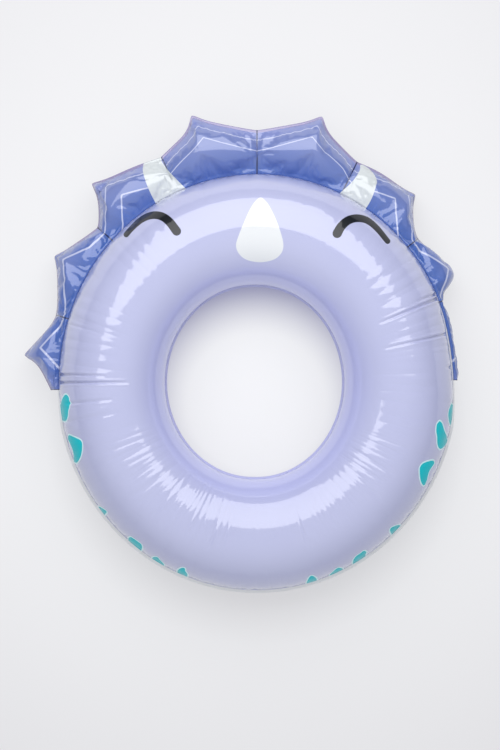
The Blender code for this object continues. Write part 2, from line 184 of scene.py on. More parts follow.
def add_floor():
    """Paper. The camera and the film's gloss see it pale, partly as it is lit, with the shadow, and
    partly as a glowing backdrop with painted light and shade: a painted falloff, brighter at the
    middle and dimmer far out, and painted shadows where the ring keeps the light from the hole's
    far side and from the floor on its near side."""
    bpy.ops.mesh.primitive_plane_add(size=FLOOR_SIZE)
    floor = bpy.context.object
    floor.name = "floor"
    values = {"Roughness": 0.8, "Specular IOR Level": 0.2}
    material, tree, shader = new_material("paper floor", values)
    rays = tree.nodes.new("ShaderNodeLightPath").outputs
    seen = maths(tree, "MAXIMUM", rays["Is Camera Ray"], rays["Is Glossy Ray"])
    seen = maths(tree, "MAXIMUM", seen, rays["Is Transmission Ray"])
    feed(tree, shader.inputs["Base Color"], mixed(tree, seen, FLOOR_GREY, FLOOR_PALE))
    # Painted light and shade on the backdrop: a falloff from the middle, a painted shadow in the
    # hole's far side, and a painted shadow on the floor by the ring's near side
    fall = between(tree, distance_from(tree, BACKDROP_MIDDLE), 0.0, BACKDROP_REACH, 0.0, 1.0)
    colour = mixed(tree, fall, BACKDROP_NEAR, BACKDROP_FAR)
    outside = between(tree, distance_from(tree, (*RING_AXIS, 0)), *UNDER_RING, 0.0, 1.0)
    far_side = distance_from(tree, HOLE_SHADE_MIDDLE)
    far_side = between(tree, far_side, *HOLE_SHADE_REACH, 0.0, 1.0)
    far_side = maths(tree, "POWER", far_side, HOLE_SHADE_POWER)
    far_side = maths(tree, "MULTIPLY", far_side, maths(tree, "SUBTRACT", 1.0, outside))
    colour = mixed(tree, far_side, colour, HOLE_SHADE)
    near_side = distance_from(tree, NEAR_SHADE_MIDDLE)
    near_side = between(tree, near_side, *NEAR_SHADE_REACH, 1.0, 0.0)
    colour = mixed(tree, maths(tree, "MULTIPLY", near_side, outside), colour, NEAR_SHADE)
    even = add_node(tree, "ShaderNodeEmission", {"Color": colour}).outputs["Emission"]
    share = maths(tree, "MULTIPLY", seen, EVEN_SHARE)
    mix = add_node(tree, "ShaderNodeMixShader", enumerate((share, shader.outputs["BSDF"], even)))
    feed(tree, tree.nodes["Material Output"].inputs["Surface"], mix.outputs["Shader"])
    floor.data.materials.append(material)


def light_room():
    """A room that is pale above and on the near side, and dim towards the other walls."""
    world = bpy.data.worlds.new("pale room")
    world.use_nodes = True
    bpy.context.scene.world = world
    tree = world.node_tree
    lighting = tree.nodes["Background"]
    lighting.inputs["Color"].default_value = (*ROOM_COLOUR, 1)
    way = tree.nodes.new("ShaderNodeTexCoord").outputs["Generated"]
    way = add_node(tree, "ShaderNodeSeparateXYZ", {0: way}).outputs
    above = between(tree, way["Z"], 0.0, 1.0, 0.0, TOP_LEVEL)
    near_side = between(tree, way["Y"], 0.0, -1.0, 0.0, NEAR_LEVEL)
    feed(tree, lighting.inputs["Strength"], maths(tree, "ADD", above, near_side))


add_camera()
add_panel()
add_floor()
light_room()
bpy.context.scene.view_settings.view_transform = "Standard"


# Ring sheets
#
# Two rings of lavender PVC film 0.3 mm thick, welded together at the outer and the inner seam and
# blown up to an oval tube. The flat film is too long for the outer seam once the tube fills, so it
# puckers there in radial folds that fade over the crown towards the hole.

FILM = 0.0003
FIT_GAP = 0.0003
SEAM_WIDTH = 0.003
TUBE_RADIUS = 0.0925
CENTRE_HALF_WIDTH = 0.237
CENTRE_HALF_LENGTH = 0.2535
TOP_AROUND = 1200
BOTTOM_AROUND = 600
RING_ACROSS = 88
MERGE_DISTANCE = 1e-5

# Where the ring leaves its even oval: a wider bare weld from these degrees off +Y downwards, the
# hole's wall drawn out on the left, and the outer seam drawn in round some degrees on the right
BARE_WELD_EXTRA = 0.0026
BARE_WELD_FROM = (96.0, 103.0)
HOLE_PULL = 0.0083
HOLE_PULL_POWER = 1.2
SIDE_PULL = 0.0056
SIDE_PULL_MIDDLE = 8.0
SIDE_PULL_REACH = 22.0


def tree_with(name, inputs):
    """A geometry tree, and its named inputs as {name: socket}."""
    tree = bpy.data.node_groups.new(name, "GeometryNodeTree")
    tree.interface.new_socket("Geometry", in_out="OUTPUT", socket_type="NodeSocketGeometry")
    for label, kind in inputs.items():
        tree.interface.new_socket(label, in_out="INPUT", socket_type=kind)
    group_input = tree.nodes.new("NodeGroupInput")
    return tree, {label: group_input.outputs[label] for label in inputs}


def keep_fields(tree, geometry, **fields):
    """Stores each field with the geometry's points, under its own name."""
    for label, value in fields.items():
        values = {"Geometry": geometry, "Name": label, "Value": value}
        settings = {"data_type": "FLOAT", "domain": "POINT"}
        geometry = add_node(tree, "GeometryNodeStoreNamedAttribute", values, **settings).outputs[0]
    return geometry


def end_tree(tree, geometry, material):
    """Realize Instances and Set Material, as the last steps."""
    real = add_node(tree, "GeometryNodeRealizeInstances", {0: geometry}).outputs[0]
    values = {"Geometry": real, "Material": material}
    painted = add_node(tree, "GeometryNodeSetMaterial", values).outputs[0]
    add_node(tree, "NodeGroupOutput", {0: painted})


def ring_sheet_tree():
    """A sheet from its outer weld over half of the tube to its inner weld, round an oval.

    Side is 1 above the seam and -1 below. It keeps each point's angle round the oval, its arc
    along the film from the outer seam, and how far into a weld it lies, outer and inner."""
    sizes = ("Centre half width", "Centre half length", "Tube radius", "Weld width", "Film", "Gap")
    inputs = dict.fromkeys((*sizes, "Side"), "NodeSocketFloat")
    inputs |= dict.fromkeys(("Around", "Across"), "NodeSocketInt")
    inputs["Material"] = "NodeSocketMaterial"
    tree, given = tree_with("inflated ring sheet", inputs)
    radius, weld, side = given["Tube radius"], given["Weld width"], given["Side"]
    half_width, half_length = given["Centre half width"], given["Centre half length"]

    def calc(operation, *values):
        return maths(tree, operation, *values)

    values = {"Vertices X": given["Around"], "Vertices Y": given["Across"]}
    grid = add_node(tree, "GeometryNodeMeshGrid", values)
    place = tree.nodes.new("GeometryNodeInputPosition").outputs[0]
    place = add_node(tree, "ShaderNodeSeparateXYZ", {0: place}).outputs
    turn = calc("MULTIPLY", calc("ADD", place[0], 0.5), 2 * math.pi)
    wall = calc("MULTIPLY", radius, math.pi)
    whole = calc("ADD", wall, calc("MULTIPLY", weld, 2.0))
    along = calc("MULTIPLY", calc("ADD", place[1], 0.5), whole)
    arc = calc("MINIMUM", calc("MAXIMUM", calc("SUBTRACT", along, weld), 0.0), wall)
    outer_weld = calc("MAXIMUM", calc("SUBTRACT", weld, along), 0.0)
    inner_weld = calc("MAXIMUM", calc("SUBTRACT", along, calc("ADD", wall, weld)), 0.0)
    lift = calc("DIVIDE", arc, radius)
    cosine, sine = calc("COSINE", turn), calc("SINE", turn)
    outward = (calc("DIVIDE", cosine, half_width), calc("DIVIDE", sine, half_length), 0.0)
    outward = add_node(tree, "ShaderNodeCombineXYZ", enumerate(outward)).outputs[0]
    outward = vectors(tree, "NORMALIZE", outward)["Vector"]
    out = calc("MULTIPLY", radius, calc("COSINE", lift))
    out = calc("SUBTRACT", calc("ADD", out, outer_weld), inner_weld)
    up = calc("MULTIPLY", radius, calc("SINE", lift))
    up = calc("ADD", calc("MAXIMUM", up, given["Film"]), given["Gap"])
    middle = (calc("MULTIPLY", cosine, half_width), calc("MULTIPLY", sine, half_length))
    middle = (*middle, calc("MULTIPLY", up, side))
    middle = add_node(tree, "ShaderNodeCombineXYZ", enumerate(middle)).outputs[0]
    values = {0: outward, "Scale": out}
    reach = add_node(tree, "ShaderNodeVectorMath", values, operation="SCALE").outputs["Vector"]
    moved = vectors(tree, "ADD", middle, reach)["Vector"]
    kept = keep_fields(
        tree,
        grid.outputs["Mesh"],
        around=turn,
        arc=arc,
        outer_weld=outer_weld,
        inner_weld=inner_weld,
    )
    shape = add_node(tree, "GeometryNodeSetPosition", {"Geometry": kept, "Position": moved})
    values = {"Geometry": shape.outputs[0], "Distance": MERGE_DISTANCE}
    closed = add_node(tree, "GeometryNodeMergeByDistance", values)
    end_tree(tree, closed.outputs[0], given["Material"])
    return tree


def made_by(tree, name, values):
    """A plain mesh object from a geometry tree with these named input values."""
    source = add_object(f"{name}_source", bpy.data.meshes.new(f"{name}_source"))
    modifier = source.modifiers.new("shape", "NODES")
    modifier.node_group = tree
    sockets = {item.name: item for item in tree.interface.items_tree if item.in_out == "INPUT"}
    for label, value in values.items():
        modifier[sockets[label].identifier] = value
    graph = bpy.context.evaluated_depsgraph_get()
    graph.update()
    mesh = bpy.data.meshes.new_from_object(source.evaluated_get(graph))
    mesh.name = name
    bpy.data.objects.remove(source)
    return add_object(name, mesh)


def values_of(mesh, label):
    values = np.zeros(len(mesh.vertices), np.float32)
    mesh.attributes[label].data.foreach_get("value", values)
    return values.astype(float)


def keep_values(mesh, label, values):
    found = mesh.attributes.get(label) or mesh.attributes.new(label, "FLOAT", "POINT")
    found.data.foreach_set("value", np.asarray(values, np.float32))


def points_of(mesh):
    places = np.zeros(len(mesh.vertices) * 3, np.float32)
    mesh.vertices.foreach_get("co", places)
    return places.reshape(-1, 3).astype(float)


def move_points(mesh, places):
    mesh.vertices.foreach_set("co", places.astype(np.float32).ravel())
    mesh.update()


def wrapped(degrees):
    """The same angles, between -180 and 180."""
    return (degrees + 180) % 360 - 180


def smooth(share):
    """A share between 0 and 1 that starts and ends softly."""
    share = np.clip(share, 0, 1)
    return share**2 * (3 - 2 * share)


def tube_frame(turn):
    """The centre line's points and level outward directions at these angles, round the axis."""
    centre = np.stack(
        [CENTRE_HALF_WIDTH * np.cos(turn), CENTRE_HALF_LENGTH * np.sin(turn), 0 * turn], axis=-1
    )
    outward = np.stack(
        [np.cos(turn) / CENTRE_HALF_WIDTH, np.sin(turn) / CENTRE_HALF_LENGTH, 0 * turn], axis=-1
    )
    return centre, outward / np.linalg.norm(outward, axis=-1, keepdims=True)


# Zones of folds in the top sheet: degrees round the ring where a zone starts and ends, the mean
# distance between folds, their depth and half width, and the arcs from the outer seam where they
# start and fade out
TOP_FOLD_ZONES = (
    (-20, 8, 0.019, 0.0008, 0.0045, 0.085, 0.185),
    (8, 44, 0.015, 0.0013, 0.0048, 0.030, 0.170),
    (44, 70, 0.030, 0.0005, 0.0045, 0.020, 0.150),
    (120, 150, 0.024, 0.0005, 0.0040, 0.020, 0.150),
    (150, 172, 0.016, 0.0010, 0.0045, 0.030, 0.155),
    (172, 200, 0.026, 0.0011, 0.0055, 0.060, 0.175),
    (200, 226, 0.011, 0.0011, 0.0028, 0.110, 0.215),
    (226, 256, 0.008, 0.0009, 0.0022, 0.115, 0.225),
    (258, 292, 0.034, 0.0003, 0.0026, 0.130, 0.200),
    (292, 314, 0.011, 0.0006, 0.0026, 0.120, 0.195),
    (314, 340, 0.010, 0.0011, 0.0028, 0.115, 0.210),
)

# Single creases in it, with the same values for one: degrees, depth, half width, start and end
TOP_CREASES = (
    (177.8, 0.0066, 0.0015, 0.001, 0.135),
    (180.1, 0.0074, 0.0016, 0.002, 0.175),
    (191.3, 0.0012, 0.0026, 0.020, 0.150),
    (25.6, 0.0062, 0.0016, 0.000, 0.085),
    (24.2, 0.0070, 0.0017, 0.002, 0.165),
    (13.8, 0.0050, 0.0016, 0.010, 0.170),
    (10.6, 0.0016, 0.0024, 0.004, 0.090),
    (4.2, 0.0036, 0.0018, 0.000, 0.050),
    (186.2, 0.0026, 0.0018, 0.040, 0.150),
    (163.4, 0.0022, 0.0018, 0.020, 0.120),
    (253.0, 0.0013, 0.0018, 0.110, 0.185),
    (257.6, 0.0010, 0.0016, 0.115, 0.180),
    (288.2, 0.0014, 0.0016, 0.110, 0.190),
)
CREASE_LEAN = 0.3

# Puckers at the seams, all round: mean distance, depth, half width, start and end of the arc
OUTER_PUCKERS = (0.011, 0.0011, 0.0034, -0.010, 0.034)
LONG_PUCKERS = (0.027, 0.0011, 0.0060, -0.020, 0.095)
FOLD_LEAN = 1.6
FADE_IN = 0.022
FOLD_SEED = 11

# How far folds differ from their zone's mean: in depth, half width, distance and ends
DEPTH_RANGE = (0.45, 1.25)
WIDTH_RANGE = (0.75, 1.3)
STEP_RANGE = (0.55, 1.5)
END_RANGE = (-0.18, 0.10)
ZONE_END_DEPTH = 0.4

# Across a fold, in half widths: how far it is felt, and its two shoulders' height and place
FOLD_REACH = 6
SHOULDER_HEIGHT = 0.3
SHOULDER_PLACE = 2.4
LEAN_PIVOT = 0.4
WALL_EASE = 0.004


def scattered_folds(random, start, end, spacing, depth, width, low, high):
    """Folds at uneven distances through a zone, each with its own depth, width and ends."""
    step = math.degrees(spacing / (CENTRE_HALF_WIDTH + TUBE_RADIUS))
    folds = []
    place = start + step * random.random()
    while place < end:
        edge = min(place - start, end - place) / (3 * step)
        strength = depth * random.uniform(*DEPTH_RANGE) * min(1.0, ZONE_END_DEPTH + edge)
        reach = (high - low) * random.uniform(*END_RANGE)
        half_width = width * random.uniform(*WIDTH_RANGE)
        folds.append((place, strength, half_width, low + 0.5 * reach, high + reach))
        place += step * random.uniform(*STEP_RANGE)
    return folds


def press_folds(sheet, folds, random, most_lean):
    """Presses folds into a tube sheet: each is a sharp valley between two soft shoulders."""
    mesh = sheet.data
    places = points_of(mesh)
    turn = np.degrees(values_of(mesh, "around"))
    arc = values_of(mesh, "arc")
    centre, _ = tube_frame(np.radians(turn))
    inward = centre - places
    inward /= np.linalg.norm(inward, axis=1, keepdims=True)
    reach = np.hypot(places[:, 0], places[:, 1])
    depth = np.zeros(len(places))
    for middle, strength, width, start, end in folds:
        lean = random.uniform(-most_lean, most_lean)
        share = np.clip((arc - start) / (end - start), 0, 1)
        off = wrapped(turn - middle - lean * (share - LEAN_PIVOT))
        aside = np.radians(off) * reach / width
        near = (np.abs(aside) < FOLD_REACH) & (arc < end)
        aside, share = np.abs(aside[near]), share[near]
        fade_in = np.clip((arc[near] - start) / FADE_IN, 0, 1)
        fade_out = np.sqrt(1 - share)
        shoulders = SHOULDER_HEIGHT * np.exp(-((aside - SHOULDER_PLACE) ** 2))
        valley = np.exp(-aside) - shoulders
        depth[near] += strength * valley * fade_in * fade_out
    on_wall = np.minimum(1, arc / WALL_EASE)
    move_points(mesh, places + inward * (depth * on_wall)[:, None])


def close_round(sheet):
    """Gives the column where the round closes its angle of 0, which merging it has averaged."""
    places = points_of(sheet.data)
    turn = values_of(sheet.data, "around")
    turn[(places[:, 0] > 0) & (np.abs(places[:, 1]) < MERGE_DISTANCE)] = 0.0
    keep_values(sheet.data, "around", turn)


def widen_bare_weld(sheet):
    """Lets the outer weld reach further out round the lower half, where no frill covers it."""
    turn = values_of(sheet.data, "around")
    from_frill = np.abs(wrapped(np.degrees(turn) - 90))
    start, end = BARE_WELD_FROM
    bare = np.clip((from_frill - start) / (end - start), 0, 1)
    reach = bare * values_of(sheet.data, "outer_weld") / SEAM_WIDTH * BARE_WELD_EXTRA
    _, outward = tube_frame(turn)
    move_points(sheet.data, points_of(sheet.data) + outward * reach[:, None])


def pull_hole_wide(sheet):
    """Moves the hole's wall outwards on the left, where the welds pull it less towards a circle."""
    turn = values_of(sheet.data, "around")
    half_wall = TUBE_RADIUS * math.pi / 2
    share = smooth(values_of(sheet.data, "arc") / half_wall - 1)
    pull = HOLE_PULL * np.maximum(0, -np.cos(turn)) ** HOLE_PULL_POWER
    _, outward = tube_frame(turn)
    move_points(sheet.data, points_of(sheet.data) + outward * (pull * share)[:, None])


def set_on_axis(sheet):
    """Moves a sheet from the axis to its place, resting on the floor."""
    places = points_of(sheet.data)
    places[:, :2] += RING_AXIS
    places[:, 2] = np.maximum(places[:, 2] + SEAM_HEIGHT, 0.0)
    move_points(sheet.data, places)


def draw_side_in(sheet, most):
    """Draws the outer seam in on the right, where the end of the frill holds the film back."""
    places = points_of(sheet.data)
    off = places[:, :2] - RING_AXIS
    turn = np.arctan2(off[:, 1] / CENTRE_HALF_LENGTH, off[:, 0] / CENTRE_HALF_WIDTH)
    centre, outward = tube_frame(turn)
    past_middle = np.linalg.norm(off, axis=1) - np.linalg.norm(centre, axis=1)
    share = smooth(past_middle / TUBE_RADIUS)
    aside = np.clip((np.degrees(turn) - SIDE_PULL_MIDDLE) / SIDE_PULL_REACH, -1, 1)
    pull = most * np.cos(aside * math.pi / 2) ** 2
    move_points(sheet.data, places - outward * (pull * share)[:, None])


def give_thickness(sheet, side):
    """Turns the outer face outwards and adds the film's thickness behind it."""
    mesh = sheet.data
    if (mesh.polygons[0].normal.z > 0) != (side > 0):
        mesh.flip_normals()
    mesh.shade_smooth()
    modifier = sheet.modifiers.new("film", "SOLIDIFY")
    modifier.thickness = FILM
    modifier.offset = -1.0


ring_tree = ring_sheet_tree()


def ring_sheet(name, side, material):
    sheet = made_by(
        ring_tree,
        name,
        {
            "Centre half width": CENTRE_HALF_WIDTH,
            "Centre half length": CENTRE_HALF_LENGTH,
            "Tube radius": TUBE_RADIUS,
            "Weld width": SEAM_WIDTH,
            "Film": FILM,
            "Gap": FIT_GAP / 2,
            "Side": float(side),
            "Around": (TOP_AROUND if side > 0 else BOTTOM_AROUND) + 1,
            "Across": RING_ACROSS + 1,
            "Material": material,
        },
    )
    close_round(sheet)
    random = np.random.default_rng(FOLD_SEED)
    folds = scattered_folds(random, 0, 360, *OUTER_PUCKERS)
    folds += scattered_folds(random, 0, 360, *LONG_PUCKERS)
    press_folds(sheet, folds, random, FOLD_LEAN)
    if side > 0:
        folds = [fold for zone in TOP_FOLD_ZONES for fold in scattered_folds(random, *zone)]
        press_folds(sheet, folds, random, FOLD_LEAN)
        press_folds(sheet, TOP_CREASES, random, CREASE_LEAN)
    widen_bare_weld(sheet)
    pull_hole_wide(sheet)
    set_on_axis(sheet)
    draw_side_in(sheet, SIDE_PULL)
    return sheet


# Prints on the ring's film
#
# A white egg-shaped nose and two closed eyes, printed flat on the top sheet, and teal spots with a
# pale outline along the rim of the lower half, which go on over the seam to the bottom sheet. Their
# outlines are drawn as they show straight from above, in pixels of that view, 1.67 mm each.

NOSE = (
    (260.5, 197.4), (254.2, 202.5), (248.8, 211.6), (243.6, 223.2), (239.0, 234.6),
    (236.0, 245.0), (238.6, 253.2), (246.4, 259.7), (260.0, 262.2), (273.5, 259.7),
    (281.3, 253.2), (283.4, 244.4), (280.7, 232.4), (276.7, 221.2), (272.0, 210.8),
    (266.6, 202.0),
)

# The eyes as strokes: points along each and the half width there
LEFT_EYE = (
    (126.2, 234.6, 2.7), (132.6, 227.4, 2.8), (141.5, 219.6, 3.2), (151.5, 215.4, 3.7),
    (161.0, 216.1, 4.1), (169.0, 221.4, 4.3), (176.6, 231.2, 4.5),
)
RIGHT_EYE = (
    (337.2, 233.4, 4.7), (341.6, 226.0, 4.4), (348.6, 220.2, 4.2), (357.6, 218.2, 3.9),
    (367.4, 220.6, 3.4), (377.0, 228.4, 3.0), (387.6, 241.2, 2.8),
)

# The outlines of the spots that show from above; a corner past the rim lies below the seam
SPOTS = (
    ((65.8, 393.0), (69.4, 396.4), (70.4, 402.6), (70.2, 406.6), (68.9, 411.6), (68.3, 418.0),
     (65.9, 422.4), (62.2, 421.6), (60.0, 417.0), (59.3, 409.0), (60.6, 402.0), (62.6, 395.6)),
    ((69.0, 433.6), (73.2, 435.4), (79.8, 438.2), (82.6, 441.4), (83.3, 446.4), (82.2, 455.2),
     (80.2, 460.6), (77.2, 464.2), (74.4, 462.6), (72.9, 456.4), (72.2, 450.6), (70.4, 445.0),
     (67.2, 439.8), (67.3, 435.6)),
    ((96.2, 505.4), (100.4, 506.4), (105.0, 509.0), (107.8, 512.8), (105.8, 516.0), (104.4, 520.6),
     (100.0, 517.4), (96.0, 511.2)),
    ((127.4, 537.0), (130.4, 535.9), (134.2, 538.0), (138.0, 541.0), (141.8, 544.4), (143.3, 548.4),
     (141.8, 551.8), (138.6, 552.6), (133.6, 548.8), (129.6, 543.6), (127.4, 539.6)),
    ((150.8, 557.2), (154.0, 556.0), (157.8, 557.0), (160.6, 560.2), (165.4, 564.8), (163.6, 567.4),
     (158.4, 565.8), (153.4, 562.8)),
    ((176.0, 570.6), (178.4, 568.0), (182.2, 566.7), (186.0, 567.9), (186.6, 571.2), (188.8, 574.8),
     (187.6, 577.6), (182.4, 577.6), (178.2, 575.0)),
    ((304.8, 584.0), (308.2, 576.8), (311.8, 574.8), (315.4, 575.8), (318.4, 579.2), (315.8, 582.4),
     (311.4, 584.4), (307.2, 585.4)),
    ((327.8, 576.2), (332.4, 571.4), (336.4, 567.9), (339.6, 566.8), (343.7, 567.8), (343.2, 571.0),
     (340.2, 574.4), (334.0, 577.4), (329.6, 577.8)),
    ((351.5, 563.2), (352.9, 559.0), (356.2, 555.2), (360.0, 552.9), (362.4, 550.7), (365.4, 549.9),
     (367.8, 551.4), (366.2, 555.4), (362.6, 557.8), (360.2, 561.8), (356.4, 564.8),
     (352.6, 565.4)),
    ((388.6, 530.8), (390.6, 527.3), (395.0, 525.3), (400.8, 524.0), (401.4, 527.6), (396.4, 534.4),
     (392.6, 538.0), (390.4, 535.2)),
    ((418.8, 467.4), (421.2, 463.4), (425.2, 460.9), (433.2, 459.0), (435.2, 461.4), (434.7, 464.2),
     (431.4, 468.8), (429.1, 474.2), (427.6, 480.4), (425.4, 485.2), (423.1, 486.8), (420.6, 484.2),
     (419.2, 479.0), (418.6, 472.8)),
    ((435.4, 427.4), (436.5, 423.0), (440.0, 419.5), (443.3, 422.8), (445.0, 429.4), (447.4, 435.6),
     (447.4, 440.6), (445.4, 445.4), (442.8, 448.8), (439.8, 450.4), (437.4, 448.2), (436.4, 443.4),
     (436.3, 437.8), (435.2, 432.2)),
    ((448.0, 416.6), (448.8, 410.6), (450.6, 406.4), (452.8, 402.4), (454.4, 406.0), (453.8, 416.0),
     (451.8, 427.0), (449.0, 423.8)),
)

# More spots on the bottom sheet: degrees round the ring, arc down from the outer seam in
# millimetres, half length round the ring, half width, tilt in degrees, and which outline
LOW_SPOTS = (
    (211.0, 12, 24, 11, -8, "bean"),
    (268.0, 16, 24, 13, -6, "bean"),
    (324.0, 14, 22, 12, 12, "bean"),
    (193.0, 34, 26, 16, -12, "ear"),
    (203.0, 48, 23, 14, 20, "bean"),
    (218.0, 46, 24, 15, 6, "ear"),
    (229.4, 56, 20, 13, -16, "drop"),
    (243.0, 48, 25, 14, 12, "bean"),
    (255.6, 50, 21, 15, -10, "ear"),
    (283.0, 52, 24, 14, 10, "bean"),
    (298.0, 44, 22, 15, -14, "ear"),
    (309.4, 58, 22, 13, 8, "drop"),
    (320.6, 50, 25, 14, -8, "bean"),
    (333.0, 34, 22, 15, 18, "ear"),
    (343.6, 54, 24, 13, -4, "bean"),
    (356.0, 34, 22, 13, 10, "drop"),
)

# Outlines of a spot, between -1 and 1 along it and across it
SPOT_OUTLINES = {
    "bean": ((-1, 0.1), (-0.75, 0.75), (-0.1, 0.9), (0.5, 0.6), (0.95, 0.75), (1.0, 0.1),
             (0.7, -0.65), (0.1, -0.55), (-0.45, -0.8), (-0.85, -0.55)),
    "ear": ((-1, -0.3), (-0.85, 0.35), (-0.35, 0.45), (0.25, 0.6), (0.75, 0.95), (1.0, 0.5),
            (0.85, -0.3), (0.35, -0.9), (-0.3, -0.95), (-0.8, -0.8)),
    "drop": ((-1, 0.5), (-0.5, 0.7), (0.1, 0.95), (0.75, 0.75), (1.0, 0.1), (0.7, -0.6),
             (0.15, -1.0), (-0.25, -0.55), (-0.7, -0.1)),
}
SPOT_OUTLINE_WIDTH = 2.6
SPOT_REACH = 80
RIM_SHARE = 0.9
RING_MIDDLE_SEEN = (257.0, 375.0)
UNROLLING_STEPS = 6
FAR_OUTSIDE = -30.0


def seen_from_above(places):
    """Where points show in the straight-down view, in its pixels."""
    scale = FOCAL_PIXELS / (CAMERA_PLACE[2] - places[:, 2])
    across = PICTURE[0] / 2 + (places[:, 0] - CAMERA_PLACE[0]) * scale
    down = PICTURE[1] / 2 - (places[:, 1] - CAMERA_PLACE[1]) * scale
    return np.stack([across, down], axis=1)


def smooth_loop(corners, steps=6):
    """A closed smooth outline through these corners."""
    corners = np.array(corners, float)
    points = []
    for n in range(len(corners)):
        before, here, there, after = (corners[(n + k) % len(corners)] for k in (-1, 0, 1, 2))
        for step in range(steps):
            t = step / steps
            twice = 2 * here + (there - before) * t
            twice = twice + (2 * before - 5 * here + 4 * there - after) * t**2
            twice = twice + (3 * here - before - 3 * there + after) * t**3
            points.append(twice / 2)
    return np.array(points)


def from_side(points, start, end):
    """How far points lie from a straight side, and how far along it their nearest place is."""
    side = end - start
    share = np.clip((points - start) @ side / (side @ side + 1e-12), 0, 1)
    return np.hypot(*(points - start - share[:, None] * side).T), share


def inside_loop(points, loop):
    """How far inside a closed outline points lie; negative outside."""
    away = np.full(len(points), 1e9)
    within = np.zeros(len(points), bool)
    for start, end in zip(loop, np.roll(loop, -1, axis=0)):
        side = end - start
        away = np.minimum(away, from_side(points, start, end)[0])
        crosses = (start[1] > points[:, 1]) != (end[1] > points[:, 1])
        at = start[0] + (points[:, 1] - start[1]) * side[0] / (side[1] + 1e-12)
        within ^= crosses & (points[:, 0] < at)
    return np.where(within, away, -away)


def inside_stroke(points, stroke):
    """How far inside a rounded stroke of changing width points lie; negative outside."""
    best = np.full(len(points), -1e9)
    for start, end in zip(stroke, stroke[1:]):
        away, share = from_side(points, start[:2], end[:2])
        best = np.maximum(best, start[2] + (end[2] - start[2]) * share - away)
    return best


def smooth_stroke(stroke, steps=5):
    """The same stroke with more points between, on a smooth curve."""
    stroke = np.array(stroke)
    ends = np.vstack([2 * stroke[0] - stroke[1], stroke, 2 * stroke[-1] - stroke[-2]])
    loop = smooth_loop(ends, steps)
    return loop[steps : steps * (len(ends) - 2) + 1]


def print_face(sheet, side):
    """Keeps how far inside the nose and the eyes each point lies; they are on the top sheet."""
    seen = seen_from_above(points_of(sheet.data))
    nose, eyes = np.full((2, len(seen)), FAR_OUTSIDE)
    if side > 0:
        nose = inside_loop(seen, smooth_loop(NOSE))
        strokes = (smooth_stroke(stroke) for stroke in (LEFT_EYE, RIGHT_EYE))
        eyes = np.maximum(*(inside_stroke(seen, stroke) for stroke in strokes))
    keep_values(sheet.data, "nose_print", nose)
    keep_values(sheet.data, "eye_print", eyes)


def unrolled(seen):
    """Where points of the straight-down view lie on the film: degrees round the ring and
    millimetres up the arc from the outer seam, less than none past the rim."""
    rim_reach = CENTRE_HALF_WIDTH + TUBE_RADIUS
    turn = np.arctan2(RING_MIDDLE_SEEN[1] - seen[:, 1], seen[:, 0] - RING_MIDDLE_SEEN[0])
    height = np.zeros(len(seen))
    for _ in range(UNROLLING_STEPS):
        level = (CAMERA_PLACE[2] - SEAM_HEIGHT - height) / FOCAL_PIXELS
        across = (seen[:, 0] - PICTURE[0] / 2) * level + CAMERA_PLACE[0] - RING_AXIS[0]
        lengthwise = (PICTURE[1] / 2 - seen[:, 1]) * level + CAMERA_PLACE[1] - RING_AXIS[1]
        centre, outward = tube_frame(turn)
        off = np.stack([across, lengthwise, 0 * turn], axis=1) - centre
        slip = off[:, 1] * outward[:, 0] - off[:, 0] * outward[:, 1]
        turn = turn + slip / rim_reach
        short = 1 - (off * outward).sum(axis=1) / TUBE_RADIUS
        lift = np.arccos(1 - np.clip(np.abs(short), 0, 1)) * np.sign(short)
        height = TUBE_RADIUS * np.sin(lift)
    return np.degrees(turn), lift * TUBE_RADIUS * 1000


def print_spots(sheet, side):
    """Spots lie on the unrolled film: millimetres along the rim and up the arc from the seam."""
    turn = np.degrees(values_of(sheet.data, "around"))
    arc = side * values_of(sheet.data, "arc") * 1000
    rim = math.radians(1000 * (CENTRE_HALF_WIDTH + TUBE_RADIUS * RIM_SHARE))
    loops = []
    for corners in SPOTS:
        degrees, height = unrolled(smooth_loop(corners, 3))
        middle = degrees[0]
        along = wrapped(degrees - middle) * rim
        loops.append((middle, np.stack([along, height], axis=1)))
    for degrees, depth, half_length, half_width, tilt, outline in LOW_SPOTS:
        lean = math.radians(tilt)
        across, up = (smooth_loop(SPOT_OUTLINES[outline]) * (half_length, half_width)).T
        along = across * math.cos(lean) - up * math.sin(lean)
        height = across * math.sin(lean) + up * math.cos(lean) - depth
        loops.append((degrees, np.stack([along, height], axis=1)))
    inside = np.full(len(turn), FAR_OUTSIDE)
    for degrees, loop in loops:
        along = wrapped(turn - degrees) * rim
        off = np.maximum(np.abs(along), np.abs(arc - loop[:, 1].mean()))
        near = np.flatnonzero(off < SPOT_REACH)
        found = inside_loop(np.stack([along[near], arc[near]], axis=1), loop)
        inside[near] = np.maximum(inside[near], found)
    keep_values(sheet.data, "spot_print", inside)


LAVENDER = (0.455, 0.473, 0.712)
LAVENDER_PALE = (0.496, 0.514, 0.742)
NOSE_WHITE = (0.77, 0.79, 0.82)
EYE_BLACK = (0.009, 0.011, 0.016)
SPOT_TEAL = (0.002, 0.540, 0.620)
SPOT_PALE = (0.66, 0.88, 0.94)
# The outer weld: bare of ink, and painted paler still as light seen through the clear film
OUTER_WELD_PALE = (0.90, 0.91, 0.95)
INNER_WELD = (0.52, 0.53, 0.78)
# A painted glow on the hole's wall, paler and bluer, as light through the film and bounced off the
# floor
PAINTED_WALL_GLOW = (0.530, 0.550, 0.900)
PAINTED_GLOW_ARC = (0.235, 0.045)
WELD_EDGE = (0.0004, 0.0003)
SPOT_BLUR = 0.25
LINE_BLUR = 0.3
FACE_BLUR = 0.2
SPOT_COAT = 0.15
EYE_COAT = 0.5
GRAIN_SCALE = 220.0
GRAIN_DEPTH = 0.0001
GRAIN_STRENGTH = 0.12


